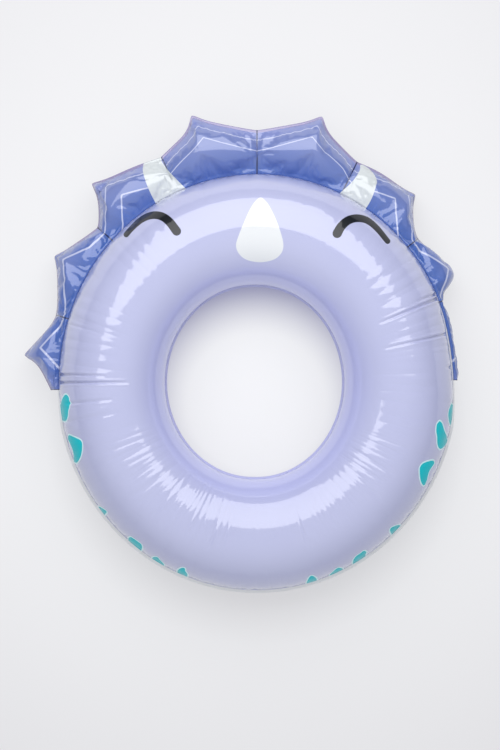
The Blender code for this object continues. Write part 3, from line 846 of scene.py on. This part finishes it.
def glossy_film(name):
    """PVC film: a soft base under a clear, nearly sharp gloss, with a faint grain.

    Gives (material, tree, shader)."""
    values = {"Roughness": 0.35, "Specular IOR Level": 0.1}
    values |= {"Coat Weight": 1.0, "Coat Roughness": 0.075, "Coat IOR": 1.75}
    material, tree, shader = new_material(name, values)
    add_bump(tree, shader, fine_noise(tree, GRAIN_SCALE, 3.0), GRAIN_DEPTH, GRAIN_STRENGTH)
    return material, tree, shader


def field(tree, label):
    return add_node(tree, "ShaderNodeAttribute", attribute_name=label).outputs["Fac"]


def over_edge(tree, value, edge, softness):
    """0 below an edge, 1 above it, with a short ramp between."""
    return between(tree, value, edge - softness, edge + softness, 0.0, 1.0)


def fine_noise(tree, scale, detail=2.0):
    values = {"Scale": scale, "Detail": detail, "Vector": own_place(tree)}
    return add_node(tree, "ShaderNodeTexNoise", values).outputs["Fac"]


def add_bump(tree, shader, height, depth, strength):
    values = {"Strength": strength, "Distance": depth, "Height": height}
    feed(tree, shader.inputs["Normal"], add_node(tree, "ShaderNodeBump", values).outputs["Normal"])


def lavender_film():
    """Lavender ink behind clear film, a little uneven, with the duller prints over it. The outer
    weld is nearly bare of ink and painted paler still, a painted glow of light through the clear
    film, and the hole's wall is painted paler and bluer, a painted glow of light through the film."""
    material, tree, shader = glossy_film("lavender PVC film")
    colour = mixed(tree, fine_noise(tree, 9.0), LAVENDER, LAVENDER_PALE)
    # Painted glow: the hole's wall paler and bluer towards the inner weld
    inner = over_edge(tree, field(tree, "arc"), *PAINTED_GLOW_ARC)
    colour = mixed(tree, inner, colour, PAINTED_WALL_GLOW)
    inside = field(tree, "spot_print")
    spot = over_edge(tree, inside, 0.0, SPOT_BLUR)
    teal = over_edge(tree, inside, SPOT_OUTLINE_WIDTH, LINE_BLUR)
    nose = over_edge(tree, field(tree, "nose_print"), 0.0, FACE_BLUR)
    eye = over_edge(tree, field(tree, "eye_print"), 0.0, FACE_BLUR)
    # The outer weld painted nearly white: bare of ink, with painted light through the clear film
    outer = over_edge(tree, field(tree, "outer_weld"), *WELD_EDGE)
    weld = over_edge(tree, field(tree, "inner_weld"), *WELD_EDGE)
    for share, ink in (
        (spot, SPOT_PALE),
        (teal, SPOT_TEAL),
        (nose, NOSE_WHITE),
        (eye, EYE_BLACK),
        (outer, OUTER_WELD_PALE),
        (weld, INNER_WELD),
    ):
        colour = mixed(tree, share, colour, ink)
    feed(tree, shader.inputs["Base Color"], colour)
    coat = between(tree, spot, 0.0, 1.0, 1.0, SPOT_COAT)
    feed(tree, shader.inputs["Coat Weight"], between(tree, eye, 0.0, 1.0, coat, EYE_COAT))
    return material


ring_film = lavender_film()
ring_top = ring_sheet("ring_top_film", 1, ring_film)
ring_bottom = ring_sheet("ring_bottom_film", -1, ring_film)
for sheet, side, node in ((ring_top, 1, "ring_top_sheet"), (ring_bottom, -1, "ring_bottom_sheet")):
    print_face(sheet, side)
    print_spots(sheet, side)
    give_thickness(sheet, side)
    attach(sheet, "ring")
    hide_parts(node)


# Frill films
#
# A separate air chamber of periwinkle PVC along the outer seam: two films welded under the ring's
# seam at their root, along a scalloped edge with eight points, and across at seven pinches. Air
# puffs each cell up, so the film puckers along its welds, and the side cells hang down.

TOP_SPIKE_LENGTH = 0.115
SPIKE_LENGTH = 0.109
SIDE_SPIKE_LENGTH = 0.100
END_SPIKE_LENGTH = 0.094
TOP_PINCH_LENGTH = 0.074
HORN_PINCH_LENGTH = 0.067
SIDE_PINCH_LENGTH = 0.046
FRILL_END_LENGTH = 0.018
FRILL_WELD_WIDTH = 0.0045
FRILL_SIDE_PULL = 0.0032
CELL_HALF_DEPTH = 0.026
HANG_SQUEEZE = 0.65
HANG_SQUEEZE_ALONG = 0.3
PASSAGE_HALF_DEPTH = 0.005
TUBE_CLEARANCE = 0.002
FLOOR_CLEARANCE = 0.006
LEAST_HEIGHT = 0.0042
CREST_POWER = 1.05
CREST_FULLNESS = 0.8
NEAR_SCALLOP = (1.5, 0.20)
FAR_SCALLOP = (1.1, 0.45)
NUB_POWER = 8
TIP_ROUNDING = 0.04
CELL_FULLNESS = 0.4
SHORT_CELL_POWER = 0.6
HANG_LENGTH = 0.1
FRILL_BEND = TUBE_RADIUS + SEAM_WIDTH + FIT_GAP
ROOT_HALF_GAP = 1.5 * FIT_GAP + FILM
HALF_CELL_COLUMNS = 30
FRILL_ROWS = 38
ROOT_WELD_ROWS = 2
EDGE_WELD_ROWS = 3

# Outline points from +Y round to the sides, pinches and points in turn: degrees on the left and on
# the right, the film's length, and the tilt and turn with which it hangs on each side
FRILL_OUTLINE = (
    ((0.0, 0.0), TOP_PINCH_LENGTH, (4, 0), (4, 0)),
    ((13.8, 13.8), TOP_SPIKE_LENGTH, (4, 8), (6, 10)),
    ((23.3, 24.8), HORN_PINCH_LENGTH, (12, 3), (20, 10)),
    ((40.0, 40.5), SPIKE_LENGTH, (19, 18), (36, 18)),
    ((46.5, 49.0), SIDE_PINCH_LENGTH, (40, 9), (52, 30)),
    ((58.5, 61.5), SIDE_SPIKE_LENGTH, (37, 20), (40, 56)),
    ((72.0, 67.0), SIDE_PINCH_LENGTH, (58, 9), (84, 30)),
    ((83.5, 84.0), END_SPIKE_LENGTH, (36, 22), (86, 95)),
    ((92.2, 89.5), FRILL_END_LENGTH, (40, 30), (70, 60)),
)


def film_path(root, bend, distance):
    """(out, up, tilt) of the frill's middle surface at a distance from its fold at the seam."""
    tilt = root + bend * distance
    if abs(bend) < 1e-6:
        return distance * math.cos(root), -distance * math.sin(root), root
    out = (math.sin(tilt) - math.sin(root)) / bend
    up = (math.cos(tilt) - math.cos(root)) / bend
    return out, up, tilt


def above_floor(length, root, bend):
    step = math.radians(0.25)
    while -film_path(root, bend, length)[1] > SEAM_HEIGHT - FLOOR_CLEARANCE:
        if root + bend * length > math.pi / 2:
            bend += step / length
        else:
            root -= step
    return root, bend


def scalloped(rise, curve):
    """How far out the edge is on its way from a pinch to a point, which ends in a small nub."""
    power, nub = curve
    rounded_rise = 1 + TIP_ROUNDING - math.hypot(1 - rise, TIP_ROUNDING)
    return (1 - nub) * rounded_rise**power + nub * rounded_rise**NUB_POWER


def frill_column(side, index, share):
    """Angle, film length, root tilt, bend and fullness, a share of the way from one outline point
    to the next; side is 1 on the right and -1 on the left."""
    here, there = FRILL_OUTLINE[index], FRILL_OUTLINE[index + 1]
    pick = 0 if side < 0 else 1
    angles = [point[0][pick] for point in FRILL_OUTLINE]
    from_y = angles[index] + (angles[index + 1] - angles[index]) * share
    pinch, spike = (here, there) if index % 2 == 0 else (there, here)
    rise = share if index % 2 == 0 else 1 - share
    curve = NEAR_SCALLOP if index % 2 == 0 else FAR_SCALLOP
    length = pinch[1] + (spike[1] - pinch[1]) * scalloped(rise, curve)
    ease = (1 - math.cos(math.pi * share)) / 2
    root, turn = (
        math.radians(a + (b - a) * ease) for a, b in zip(here[2 + pick], there[2 + pick])
    )
    start, end = angles[index - index % 2], angles[index - index % 2 + 2]
    across = (from_y - start) / (end - start)
    fullness = math.sin(math.pi * across) ** CELL_FULLNESS if 0 < across < 1 else 0.0
    return math.pi / 2 - side * math.radians(from_y), length, root, turn / HANG_LENGTH, fullness


def frill_columns():
    """Columns from the right end over the top to the left end, and which of them are pinches."""
    columns, pinches = [], []
    last = len(FRILL_OUTLINE) - 1
    halves = [(1, index) for index in reversed(range(last))] + [(-1, n) for n in range(last)]
    for side, index in halves:
        for step in range(HALF_CELL_COLUMNS):
            share = step / HALF_CELL_COLUMNS
            if step == 0 and (index % 2 == 0) == (side < 0):
                pinches.append(len(columns))
            columns.append(frill_column(side, index, 1 - share if side > 0 else share))
    pinches.append(len(columns))
    columns.append(frill_column(-1, last - 1, 1.0))
    return columns, pinches


def frill_line(column, face):
    """Outer-face points of one film, from its root weld to its edge, with the distance of each
    from the fold along the film."""
    angle, length, root, bend, fullness = column
    free = length - SEAM_WIDTH - FIT_GAP
    root, bend = above_floor(free, root, bend)
    weld_start = free - FRILL_WELD_WIDTH
    hang = film_path(root, bend, free * HANG_SQUEEZE_ALONG)[2]
    squeeze = 1 - HANG_SQUEEZE * math.sin(hang) ** 2
    full_depth = CELL_HALF_DEPTH * squeeze * (free / SPIKE_LENGTH) ** SHORT_CELL_POWER
    centre, outward = tube_frame(np.array(angle))
    points, distances = [], []

    def add(distance, out, height):
        points.append(centre + outward * out + (0, 0, height))
        distances.append(distance)

    add(-SEAM_WIDTH, TUBE_RADIUS + FIT_GAP, face * (ROOT_HALF_GAP + FILM))
    for row in range(FRILL_ROWS + 1):
        share = row / FRILL_ROWS
        out, up, tilt = film_path(root, bend, weld_start * share)
        crest = math.sin(math.pi * share**CREST_POWER) if 0 < row < FRILL_ROWS else 0.0
        along = crest**CREST_FULLNESS
        pinched = PASSAGE_HALF_DEPTH * (1 - share) ** 2
        depth = along * (pinched + (full_depth - pinched) * fullness)
        if face < 0:
            room = math.hypot(FRILL_BEND + out, up) - TUBE_RADIUS - TUBE_CLEARANCE
            depth = max(0.0, min(depth, room))
        gap = ROOT_HALF_GAP + (FIT_GAP / 2 - ROOT_HALF_GAP) * share
        off = face * (gap + depth + FILM)
        add(weld_start * share, FRILL_BEND + out + off * math.sin(tilt), up + off * math.cos(tilt))
    for share in (0.5, 1.0):
        distance = weld_start + FRILL_WELD_WIDTH * share
        out, up, tilt = film_path(root, bend, distance)
        off = face * (FIT_GAP / 2 + FILM)
        add(distance, FRILL_BEND + out + off * math.sin(tilt), up + off * math.cos(tilt))
    return points, distances


def film_mesh(name, lines):
    """A sheet from lines of points, one line to a column."""
    count = len(lines[0])
    faces = []
    for column in range(len(lines) - 1):
        for row in range(count - 1):
            at = column * count + row
            faces.append((at, at + 1, at + count + 1, at + count))
    mesh = bpy.data.meshes.new(name)
    mesh.from_pydata([tuple(point) for line in lines for point in line], [], faces)
    mesh.update()
    return add_object(name, mesh)


# The film's slack over its welds, the air's push, how far it may move a point, and how far in
# from the weld, in rows, and how firmly the double film still holds it flat
FILM_SLACK = 0.04
WELD_HOLD_ROWS = 12
WELD_HOLD = 0.7
AIR_PUSH = 3.0
LONGEST_MOVE = 0.006
PUFF_FRAMES = 18


def blow_up(sheet, held):
    """Lets air push a film out between its held points, with the slack that puckers it."""
    sheet.data.update()
    group = sheet.vertex_groups.new(name="welded")
    for weight in np.unique(np.round(held, 2)):
        chosen = np.flatnonzero(np.round(held, 2) == weight)
        if weight > 0:
            group.add(chosen.tolist(), float(weight), "REPLACE")
    cloth = sheet.modifiers.new("air", "CLOTH")
    cloth.settings.quality = 5
    cloth.settings.mass = 0.15
    cloth.settings.tension_stiffness = 12
    cloth.settings.compression_stiffness = 12
    cloth.settings.shear_stiffness = 4
    cloth.settings.bending_stiffness = 0.2
    cloth.settings.air_damping = 4
    cloth.settings.use_pressure = True
    cloth.settings.uniform_pressure_force = AIR_PUSH
    cloth.settings.vertex_group_mass = group.name
    cloth.settings.shrink_min = -FILM_SLACK
    cloth.settings.shrink_max = -FILM_SLACK
    cloth.settings.effector_weights.gravity = 0
    cloth.collision_settings.use_collision = False
    cloth.point_cache.frame_start = 1
    cloth.point_cache.frame_end = PUFF_FRAMES
    scene = bpy.context.scene
    for moment in range(1, PUFF_FRAMES + 1):
        scene.frame_set(moment)
    graph = bpy.context.evaluated_depsgraph_get()
    puffed = sheet.evaluated_get(graph).to_mesh()
    places = points_of(puffed)
    sheet.evaluated_get(graph).to_mesh_clear()
    sheet.modifiers.remove(cloth)
    scene.frame_set(1)
    start = points_of(sheet.data)
    moves = places - start
    size = np.linalg.norm(moves, axis=1, keepdims=True)
    move_points(sheet.data, start + moves * np.minimum(1, LONGEST_MOVE / (size + 1e-9)))


def keep_clear(places, angles):
    """Pushes points out of the tube and off the floor."""
    centre, outward = tube_frame(angles)
    off = places - centre
    out = (off * outward).sum(axis=1)
    reach = np.hypot(out, off[:, 2])
    short = np.maximum(0, TUBE_RADIUS + TUBE_CLEARANCE / 2 - reach)
    short[out > TUBE_RADIUS + FIT_GAP / 2] = 0
    push = (outward * out[:, None] + np.outer(off[:, 2], (0, 0, 1))) / reach[:, None]
    places = places + push * short[:, None]
    places[:, 2] = np.maximum(places[:, 2], LEAST_HEIGHT - SEAM_HEIGHT)
    return places


def edge_distances(angles, distances, lengths):
    """How far each point of the flat film lies from its scalloped outline, in millimetres."""
    base = CENTRE_HALF_WIDTH + FRILL_BEND
    reach = base + distances
    flat = np.stack([reach * np.cos(angles), reach * np.sin(angles)], axis=1) * 1000
    columns = angles.reshape(len(lengths), -1)[:, 0]
    edge = base + lengths
    outline = np.stack([edge * np.cos(columns), edge * np.sin(columns)], axis=1) * 1000
    away = np.full(len(flat), 1e9)
    for start, end in zip(outline, outline[1:]):
        away = np.minimum(away, from_side(flat, start, end)[0])
    return away


LEFT_HORN = (
    (159.5, 153.5), (162.0, 162.0), (170.0, 172.5), (184.5, 187.5), (192.0, 196.0),
    (161.0, 214.0), (155.8, 203.5), (150.0, 192.0), (145.2, 180.0), (142.8, 168.5), (146.5, 159.5),
)
RIGHT_HORN = (
    (361.0, 164.5), (359.5, 171.0), (352.0, 182.0), (339.5, 193.5), (331.0, 202.0),
    (360.0, 219.0), (365.2, 209.5), (371.0, 200.0), (375.4, 188.0), (376.6, 179.5), (370.5, 170.0),
)
PERIWINKLE = (0.185, 0.232, 0.500)
# Painted shade down by the ring: darker and deeper blue than the film
PERIWINKLE_ROOT_SHADE = (0.052, 0.124, 0.440)
PERIWINKLE_EDGE = (0.245, 0.285, 0.600)
WELD_MAUVE = (0.300, 0.270, 0.470)
HORN_WHITE = (0.62, 0.66, 0.68)
LINE_WHITE = (0.50, 0.54, 0.76)
ROOT_SHADE_REACH = (26.0, 24.0)
EDGE_REACH = (14.0, 12.0)
WELD_REACH = (4.5, 0.5)
PRINTED_LINES = (17.5, 36.0)
LINE_HALF_WIDTH = 0.75
# The printed lines crowd towards the edge round the sides: degrees from +Y, and how wide apart
PRINT_ANGLES = (22, 28, 45, 52)
PRINT_SCALES = (1.0, 0.72, 0.68, 0.48)
# Painted shade, nearly navy, along the folds at the pinches
FOLD_PAINTED_SHADE = (0.012, 0.020, 0.090)
FOLD_HALF_WIDTH = 1.1
FOLD_BLUR = 0.6


def periwinkle_film():
    """Periwinkle film, painted darker and deeper blue down by the ring as painted shade, paler near
    the edge, and nearly navy along the folds at the pinches as painted shade, with two thin white
    lines that follow the outline, white horns, and the greyer double film of the weld."""
    material, tree, shader = glossy_film("periwinkle PVC film")
    edge = field(tree, "edge_distance")
    print_place = field(tree, "print_distance")
    root = field(tree, "root_distance")
    # Painted shade: darker and deeper blue near the root
    colour = mixed(tree, over_edge(tree, root, *ROOT_SHADE_REACH), PERIWINKLE_ROOT_SHADE, PERIWINKLE)
    colour = mixed(tree, over_edge(tree, edge, *EDGE_REACH), PERIWINKLE_EDGE, colour)
    colour = mixed(tree, over_edge(tree, edge, *WELD_REACH), WELD_MAUVE, colour)
    for place in PRINTED_LINES:
        off = maths(tree, "ABSOLUTE", maths(tree, "SUBTRACT", print_place, place))
        line = over_edge(tree, off, LINE_HALF_WIDTH, LINE_BLUR)
        colour = mixed(tree, line, LINE_WHITE, colour)
    # Painted shade along the folds at the pinches
    fold = over_edge(tree, field(tree, "pinch_distance"), FOLD_HALF_WIDTH, FOLD_BLUR)
    colour = mixed(tree, fold, FOLD_PAINTED_SHADE, colour)
    horn = over_edge(tree, field(tree, "horn_print"), 0.0, FACE_BLUR)
    feed(tree, shader.inputs["Base Color"], mixed(tree, horn, colour, HORN_WHITE))
    return material


def frill_film(name, face, material, node):
    """One film of the frill, blown up; face is 1 for the front film and -1 for the back one."""
    columns, pinches = frill_columns()
    lines, distances = zip(*(frill_line(column, face) for column in columns))
    sheet = film_mesh(name, lines)
    rows = len(lines[0])
    distances = np.array(distances).ravel()
    angles = np.repeat([column[0] for column in columns], rows)
    lengths = np.array([column[1] for column in columns]) - SEAM_WIDTH - FIT_GAP
    row = np.tile(np.arange(rows), len(columns))
    if (sheet.data.polygons[len(sheet.data.polygons) // 2].normal.z > 0) != (face > 0):
        sheet.data.flip_normals()
    held = np.clip((row - (rows - WELD_HOLD_ROWS)) / WELD_HOLD_ROWS, 0, 1) * WELD_HOLD
    held[(row < ROOT_WELD_ROWS) | (row >= rows - EDGE_WELD_ROWS)] = 1.0
    held[np.isin(np.arange(len(held)) // rows, pinches)] = 1.0
    blow_up(sheet, held)
    move_points(sheet.data, keep_clear(points_of(sheet.data), angles))
    keep_values(sheet.data, "root_distance", distances * 1000)
    edges = edge_distances(angles, distances, lengths)
    keep_values(sheet.data, "edge_distance", edges)
    from_y = np.degrees(np.abs(math.pi / 2 - angles))
    welds = np.array([columns[at][0] for at in pinches])
    aside = np.abs(angles[:, None] - welds).min(axis=1)
    aside *= (CENTRE_HALF_WIDTH + FRILL_BEND + distances) * 1000
    keep_values(sheet.data, "pinch_distance", aside)
    print_scale = np.interp(from_y, PRINT_ANGLES, PRINT_SCALES)
    keep_values(sheet.data, "print_distance", edges * print_scale)
    set_on_axis(sheet)
    draw_side_in(sheet, FRILL_SIDE_PULL)
    horns = np.full(len(held), FAR_OUTSIDE)
    if face > 0:
        seen = seen_from_above(points_of(sheet.data))
        for horn in (LEFT_HORN, RIGHT_HORN):
            horns = np.maximum(horns, inside_loop(seen, smooth_loop(horn)))
    keep_values(sheet.data, "horn_print", horns)
    sheet.data.materials.append(material)
    give_thickness(sheet, face)
    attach(sheet, "ring")
    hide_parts(node)
    return sheet


frill_material = periwinkle_film()
frill_film("frill_front_film", 1, frill_material, "frill_front_sheet")
frill_back = frill_film("frill_back_film", -1, frill_material, "frill_back_sheet")


# Valves
#
# Two push-in air valves of moulded PVC, one under the ring at its -Y end and one under the frill:
# a flange welded behind the film, a thin web that lets the stem be pushed in or pulled out, the
# stem with its check flap, and a stopper on a soft strap.

FLANGE_RADIUS = 0.0165
FLANGE_THICKNESS = 0.0008
FILM_HOLE_RADIUS = 0.0120
FLANGE_LAP = 0.0005
WEB_DEPTH = 0.0060
WEB_THICKNESS = 0.0006
WEB_LEDGE = 0.0010
STEM_RADIUS = 0.0065
STEM_BORE_RADIUS = 0.0042
STEM_LENGTH = 0.0120
STEM_RISE = 0.0010
PLUG_HEAD_RADIUS = 0.0075
PLUG_HEAD_THICKNESS = 0.0017
PLUG_RIM_WIDTH = 0.0013
PLUG_DISH_DEPTH = 0.0004
PLUG_LENGTH = 0.0060
PLUG_TAPER = 0.0011
STRAP_REACH = 0.0142
STRAP_HALF_WIDTH = 0.0024
STRAP_THICKNESS = 0.0007
FLAP_THICKNESS = 0.0005
FLANGE_TOP = -FILM - FIT_GAP
FLANGE_ROUNDING = 0.0002
WEB_ROUNDING = 0.0018
STEM_ROUNDING = 0.0004
PLUG_ROUNDING = 0.0003
STRAP_ROUNDING = 0.00012
FLAP_ROUNDING = 0.0001
TURNED_SIDES = 64
FLAP_SIDES = 48
STRAP_ARC_POINTS = 9
DOUBLES_DISTANCE = 1e-6
LEVEL_TOLERANCE = 1e-7

# The film round a valve: flat this far out and eased over the next stretch, for points this near
# the valve's plane; further out it rises by no more than a slope, as far as the stopper swings
PATCH_RADIUS = 0.0178
PATCH_EASE = 0.0110
PATCH_REACH = 0.020
PATCH_RISE = 0.10
STOPPER_REACH = 0.036
HOLE_SIDES = 40
HOLE_MARGIN = 0.0030


def valve_frame(place, outward, sideways):
    """A frame with +Z out of the film and +X along it towards the strap."""
    outward, sideways = Vector(outward).normalized(), Vector(sideways)
    along = (sideways - outward * outward.dot(sideways)).normalized()
    axes = Matrix((along, outward.cross(along), outward)).transposed().to_4x4()
    return Matrix.Translation(place) @ axes


def rounded(profile, radius, closed=True, steps=4):
    """A profile with its corners rounded; an open one keeps its two ends."""
    points = [Vector(point) for point in profile]
    made = []
    for n, corner in enumerate(points):
        if not closed and n in (0, len(points) - 1):
            made.append(tuple(corner))
            continue
        before = points[n - 1] - corner
        after = points[(n + 1) % len(points)] - corner
        cut = min(radius, before.length * 0.45, after.length * 0.45)
        start, end = corner + before.normalized() * cut, corner + after.normalized() * cut
        for step in range(steps + 1):
            t = step / steps
            made.append(tuple(start * (1 - t) ** 2 + corner * 2 * t * (1 - t) + end * t**2))
    return made


def moulded(name, bm, place, body, kind, node):
    """Finishes a valve piece: welded doubles, faces outwards, in its place."""
    material, slot = kind
    bmesh.ops.remove_doubles(bm, verts=bm.verts, dist=DOUBLES_DISTANCE)
    bmesh.ops.recalc_face_normals(bm, faces=bm.faces)
    bm.transform(place)
    mesh = bpy.data.meshes.new(name)
    bm.to_mesh(mesh)
    bm.free()
    mesh.shade_smooth()
    mesh.materials.append(material)
    piece = add_object(name, mesh)
    if body:
        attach(piece, body)
    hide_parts(node)
    return piece


def turned(profile, closed=True):
    """A solid turned about Z from (radius, height) points."""
    bm = bmesh.new()
    points = [bm.verts.new((radius, 0, height)) for radius, height in profile]
    pairs = list(zip(points, points[1:]))
    if closed:
        pairs.append((points[-1], points[0]))
    edges = [bm.edges.new(pair) for pair in pairs]
    bmesh.ops.spin(
        bm,
        geom=points + edges,
        axis=(0, 0, 1),
        cent=(0, 0, 0),
        steps=TURNED_SIDES,
        angle=2 * math.pi,
    )
    return bm


def plate(outline, low, high, edge):
    """A flat piece with softened edges from its outline."""
    bm = bmesh.new()
    face = bm.faces.new([bm.verts.new((x, y, low)) for x, y in outline])
    lifted = bmesh.ops.extrude_face_region(bm, geom=[face])["geom"]
    moved = [part for part in lifted if isinstance(part, bmesh.types.BMVert)]
    bmesh.ops.translate(bm, verts=moved, vec=(0, 0, high - low))
    bmesh.ops.recalc_face_normals(bm, faces=bm.faces)
    rims = [e for e in bm.edges if abs(e.verts[0].co.z - e.verts[1].co.z) < LEVEL_TOLERANCE]
    bmesh.ops.bevel(bm, geom=rims, offset=edge, segments=3, affect="EDGES", profile=0.5)
    return bm


def arc_points(centre_x, radius, start, end, count):
    return [
        (centre_x + radius * math.cos(angle), radius * math.sin(angle))
        for angle in np.linspace(start, end, count)
    ]


def strap_outline(centre_x, radius, end_x):
    reach = math.asin(STRAP_HALF_WIDTH / radius)
    arc = arc_points(centre_x, radius, -reach, reach, STRAP_ARC_POINTS)
    return [*arc, (end_x, STRAP_HALF_WIDTH), (end_x, -STRAP_HALF_WIDTH)]


def web_section():
    """The web's upper line in smooth curves, from the flange's bore down to the stem."""
    outer = FILM_HOLE_RADIUS - FLANGE_LAP - FIT_GAP
    inner = STEM_RADIUS + FIT_GAP
    low = FLANGE_TOP - WEB_DEPTH
    line = [(outer, FLANGE_TOP), (outer - WEB_LEDGE, FLANGE_TOP)]
    line += [(inner + WEB_LEDGE, low), (inner, low)]
    return rounded(line, WEB_ROUNDING, closed=False, steps=6)


HAZE_SCALE = 160.0
HAZE_PALER = 1.08
SATIN_SCALE = 900.0
SATIN_RANGE = (0.8, 1.25)
SATIN_DEPTH = 0.00005
SATIN_STRENGTH = 0.15


def clear_pvc(name, colour, roughness, clearness):
    """Moulded PVC, milky and a little see-through, with a satin face."""
    values = {"IOR": 1.53, "Transmission Weight": clearness}
    values |= {"Coat Weight": 0.3, "Coat Roughness": 0.15}
    material, tree, shader = new_material(name, values)
    paler = tuple(min(1, part * HAZE_PALER) for part in colour)
    haze = mixed(tree, fine_noise(tree, HAZE_SCALE), colour, paler)
    feed(tree, shader.inputs["Base Color"], haze)
    grain = fine_noise(tree, SATIN_SCALE, 3.0)
    smooth, rough = (roughness * share for share in SATIN_RANGE)
    feed(tree, shader.inputs["Roughness"], between(tree, grain, 0.0, 1.0, smooth, rough))
    add_bump(tree, shader, grain, SATIN_DEPTH, SATIN_STRENGTH)
    return material


def cut_round_hole(bm, near_hole, place):
    """Cuts the film cleanly along a circle by many short straight cuts, and takes out the disc."""
    faces = [face for face in bm.faces if any(near_hole[v.index] for v in face.verts)]
    touched = np.zeros(len(bm.verts), bool)
    touched[[v.index for face in faces for v in face.verts]] = True
    edges = [edge for edge in bm.edges if all(touched[v.index] for v in edge.verts)]
    parts = faces + edges + [v for v in bm.verts if touched[v.index]]
    for angle in np.linspace(0, 2 * math.pi, HOLE_SIDES, endpoint=False):
        across = Vector((math.cos(angle), math.sin(angle), 0))
        cut = bmesh.ops.bisect_plane(
            bm,
            geom=parts,
            dist=LEVEL_TOLERANCE,
            plane_co=place @ (across * FILM_HOLE_RADIUS),
            plane_no=place.to_3x3() @ across,
        )
        parts = cut["geom"]
    back = place.inverted()
    disc = [
        part
        for part in parts
        if isinstance(part, bmesh.types.BMFace)
        and (back @ part.calc_center_median()).xy.length < FILM_HOLE_RADIUS
    ]
    bmesh.ops.delete(bm, geom=disc, context="FACES")


def flatten_patch(sheet, place):
    """Flattens the film round a valve, keeps it low where the open stopper lies, and opens its
    round hole."""
    mesh = sheet.data
    places = points_of(mesh)
    into = np.array(place.inverted())
    local = places @ into[:3, :3].T + into[:3, 3]
    radius = np.hypot(local[:, 0], local[:, 1])
    near = (radius < PATCH_RADIUS + PATCH_EASE) & (np.abs(local[:, 2]) < PATCH_REACH)
    local[near, 2] *= smooth((radius - PATCH_RADIUS) / PATCH_EASE)[near]
    most = PATCH_RISE * np.maximum(0, radius - PATCH_RADIUS)
    most += np.maximum(0, radius - STOPPER_REACH)
    proud = (radius < STOPPER_REACH + PATCH_REACH) & (local[:, 2] > most)
    proud &= local[:, 2] < PATCH_REACH
    local[proud, 2] = most[proud]
    out_of = np.array(place)
    move_points(mesh, local @ out_of[:3, :3].T + out_of[:3, 3])
    bm = bmesh.new()
    bm.from_mesh(mesh)
    bm.verts.index_update()
    cut_round_hole(bm, near & (radius < FILM_HOLE_RADIUS + HOLE_MARGIN), place)
    bm.to_mesh(mesh)
    bm.free()
    mesh.update()


def add_valve(name, place):
    """All the moulded pieces of one valve, each on its body but the soft web, which stays loose."""
    mouth, stopper, flap = f"{name}_mouth", f"{name}_stopper", f"{name}_flap"

    def add(piece, bm, at, body, kind, node):
        return moulded(f"{name}_{piece}", bm, at, body, kind, f"{name}_{node}")

    inner = FILM_HOLE_RADIUS - FLANGE_LAP
    low = FLANGE_TOP - FLANGE_THICKNESS
    flange = [(inner, low), (FLANGE_RADIUS, low), (FLANGE_RADIUS, FLANGE_TOP), (inner, FLANGE_TOP)]
    add("ring", turned(rounded(flange, FLANGE_ROUNDING)), place, "ring", CLEAR, "flange")

    line = web_section()
    under = [(radius, height - WEB_THICKNESS) for radius, height in reversed(line)]
    web = add("soft_web", turned(line + under), place, None, CLEAR, "web")
    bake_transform(web)

    bottom = STEM_RISE - STEM_LENGTH
    stem = [(STEM_BORE_RADIUS, bottom), (STEM_RADIUS, bottom)]
    stem += [(STEM_RADIUS, STEM_RISE), (STEM_BORE_RADIUS, STEM_RISE)]
    add("tube", turned(rounded(stem, STEM_ROUNDING)), place, mouth, CLEAR, "stem")

    outline = strap_outline(0, STEM_RADIUS + FIT_GAP, STRAP_REACH)
    bm = plate(outline, STEM_RISE - STRAP_THICKNESS, STEM_RISE, STRAP_ROUNDING)
    add("strap_root", bm, place, mouth, MILKY, "strap_base")

    low = FIT_GAP / 2
    high = low + PLUG_HEAD_THICKNESS
    top_radius = STEM_BORE_RADIUS - FIT_GAP
    rim = PLUG_HEAD_RADIUS - PLUG_RIM_WIDTH
    dish = high - PLUG_DISH_DEPTH
    profile = [(0, low - PLUG_LENGTH), (top_radius - PLUG_TAPER, low - PLUG_LENGTH)]
    profile += [(top_radius, low), (PLUG_HEAD_RADIUS, low), (PLUG_HEAD_RADIUS, high)]
    profile += [(rim, high), (rim - PLUG_DISH_DEPTH, dish), (0, dish)]
    fold = place @ Matrix.Translation((STRAP_REACH, 0, STEM_RISE + FIT_GAP / 2))
    bm = turned(rounded(profile, PLUG_ROUNDING, closed=False), closed=False)
    bm.transform(Matrix.Translation((-STRAP_REACH, 0, 0)))
    add("stopper_cap", bm, fold, stopper, MILKY, "plug")

    outline = strap_outline(-STRAP_REACH, PLUG_HEAD_RADIUS + FIT_GAP, 0)
    bm = plate(outline, low, low + STRAP_THICKNESS, STRAP_ROUNDING)
    add("strap_tip", bm, fold, stopper, MILKY, "strap_end")

    middle = bottom - FIT_GAP - FLAP_THICKNESS / 2
    disc = arc_points(0, STEM_RADIUS - FIT_GAP, 0, 2 * math.pi, FLAP_SIDES + 1)[:-1]
    bm = plate(disc, middle - FLAP_THICKNESS / 2, middle + FLAP_THICKNESS / 2, FLAP_ROUNDING)
    add("flap_disc", bm, place, flap, CLEAR, "check_flap")


CLEAR_COLOUR = (0.62, 0.66, 0.80)
MILKY_COLOUR = (0.80, 0.82, 0.90)
CLEAR = clear_pvc("clear moulded PVC", CLEAR_COLOUR, roughness=0.30, clearness=0.35), "valve_clear"
MILKY = clear_pvc("milky moulded PVC", MILKY_COLOUR, roughness=0.34, clearness=0.12), "valve_plug"

MAIN_VALVE = valve_frame((0.02407, -0.37573, 0.0399), (0, -0.8192, -0.5736), (1, 0, 0))
FRILL_VALVE = valve_frame(
    (-0.04601, 0.33317, 0.06868), (0.1834, -0.0095, -0.983), (-0.9799, -0.0818, -0.1821)
)
for name, place, film in (
    ("main_valve", MAIN_VALVE, ring_bottom),
    ("frill_valve", FRILL_VALVE, frill_back),
):
    flatten_patch(film, place)
    add_valve(name, place)
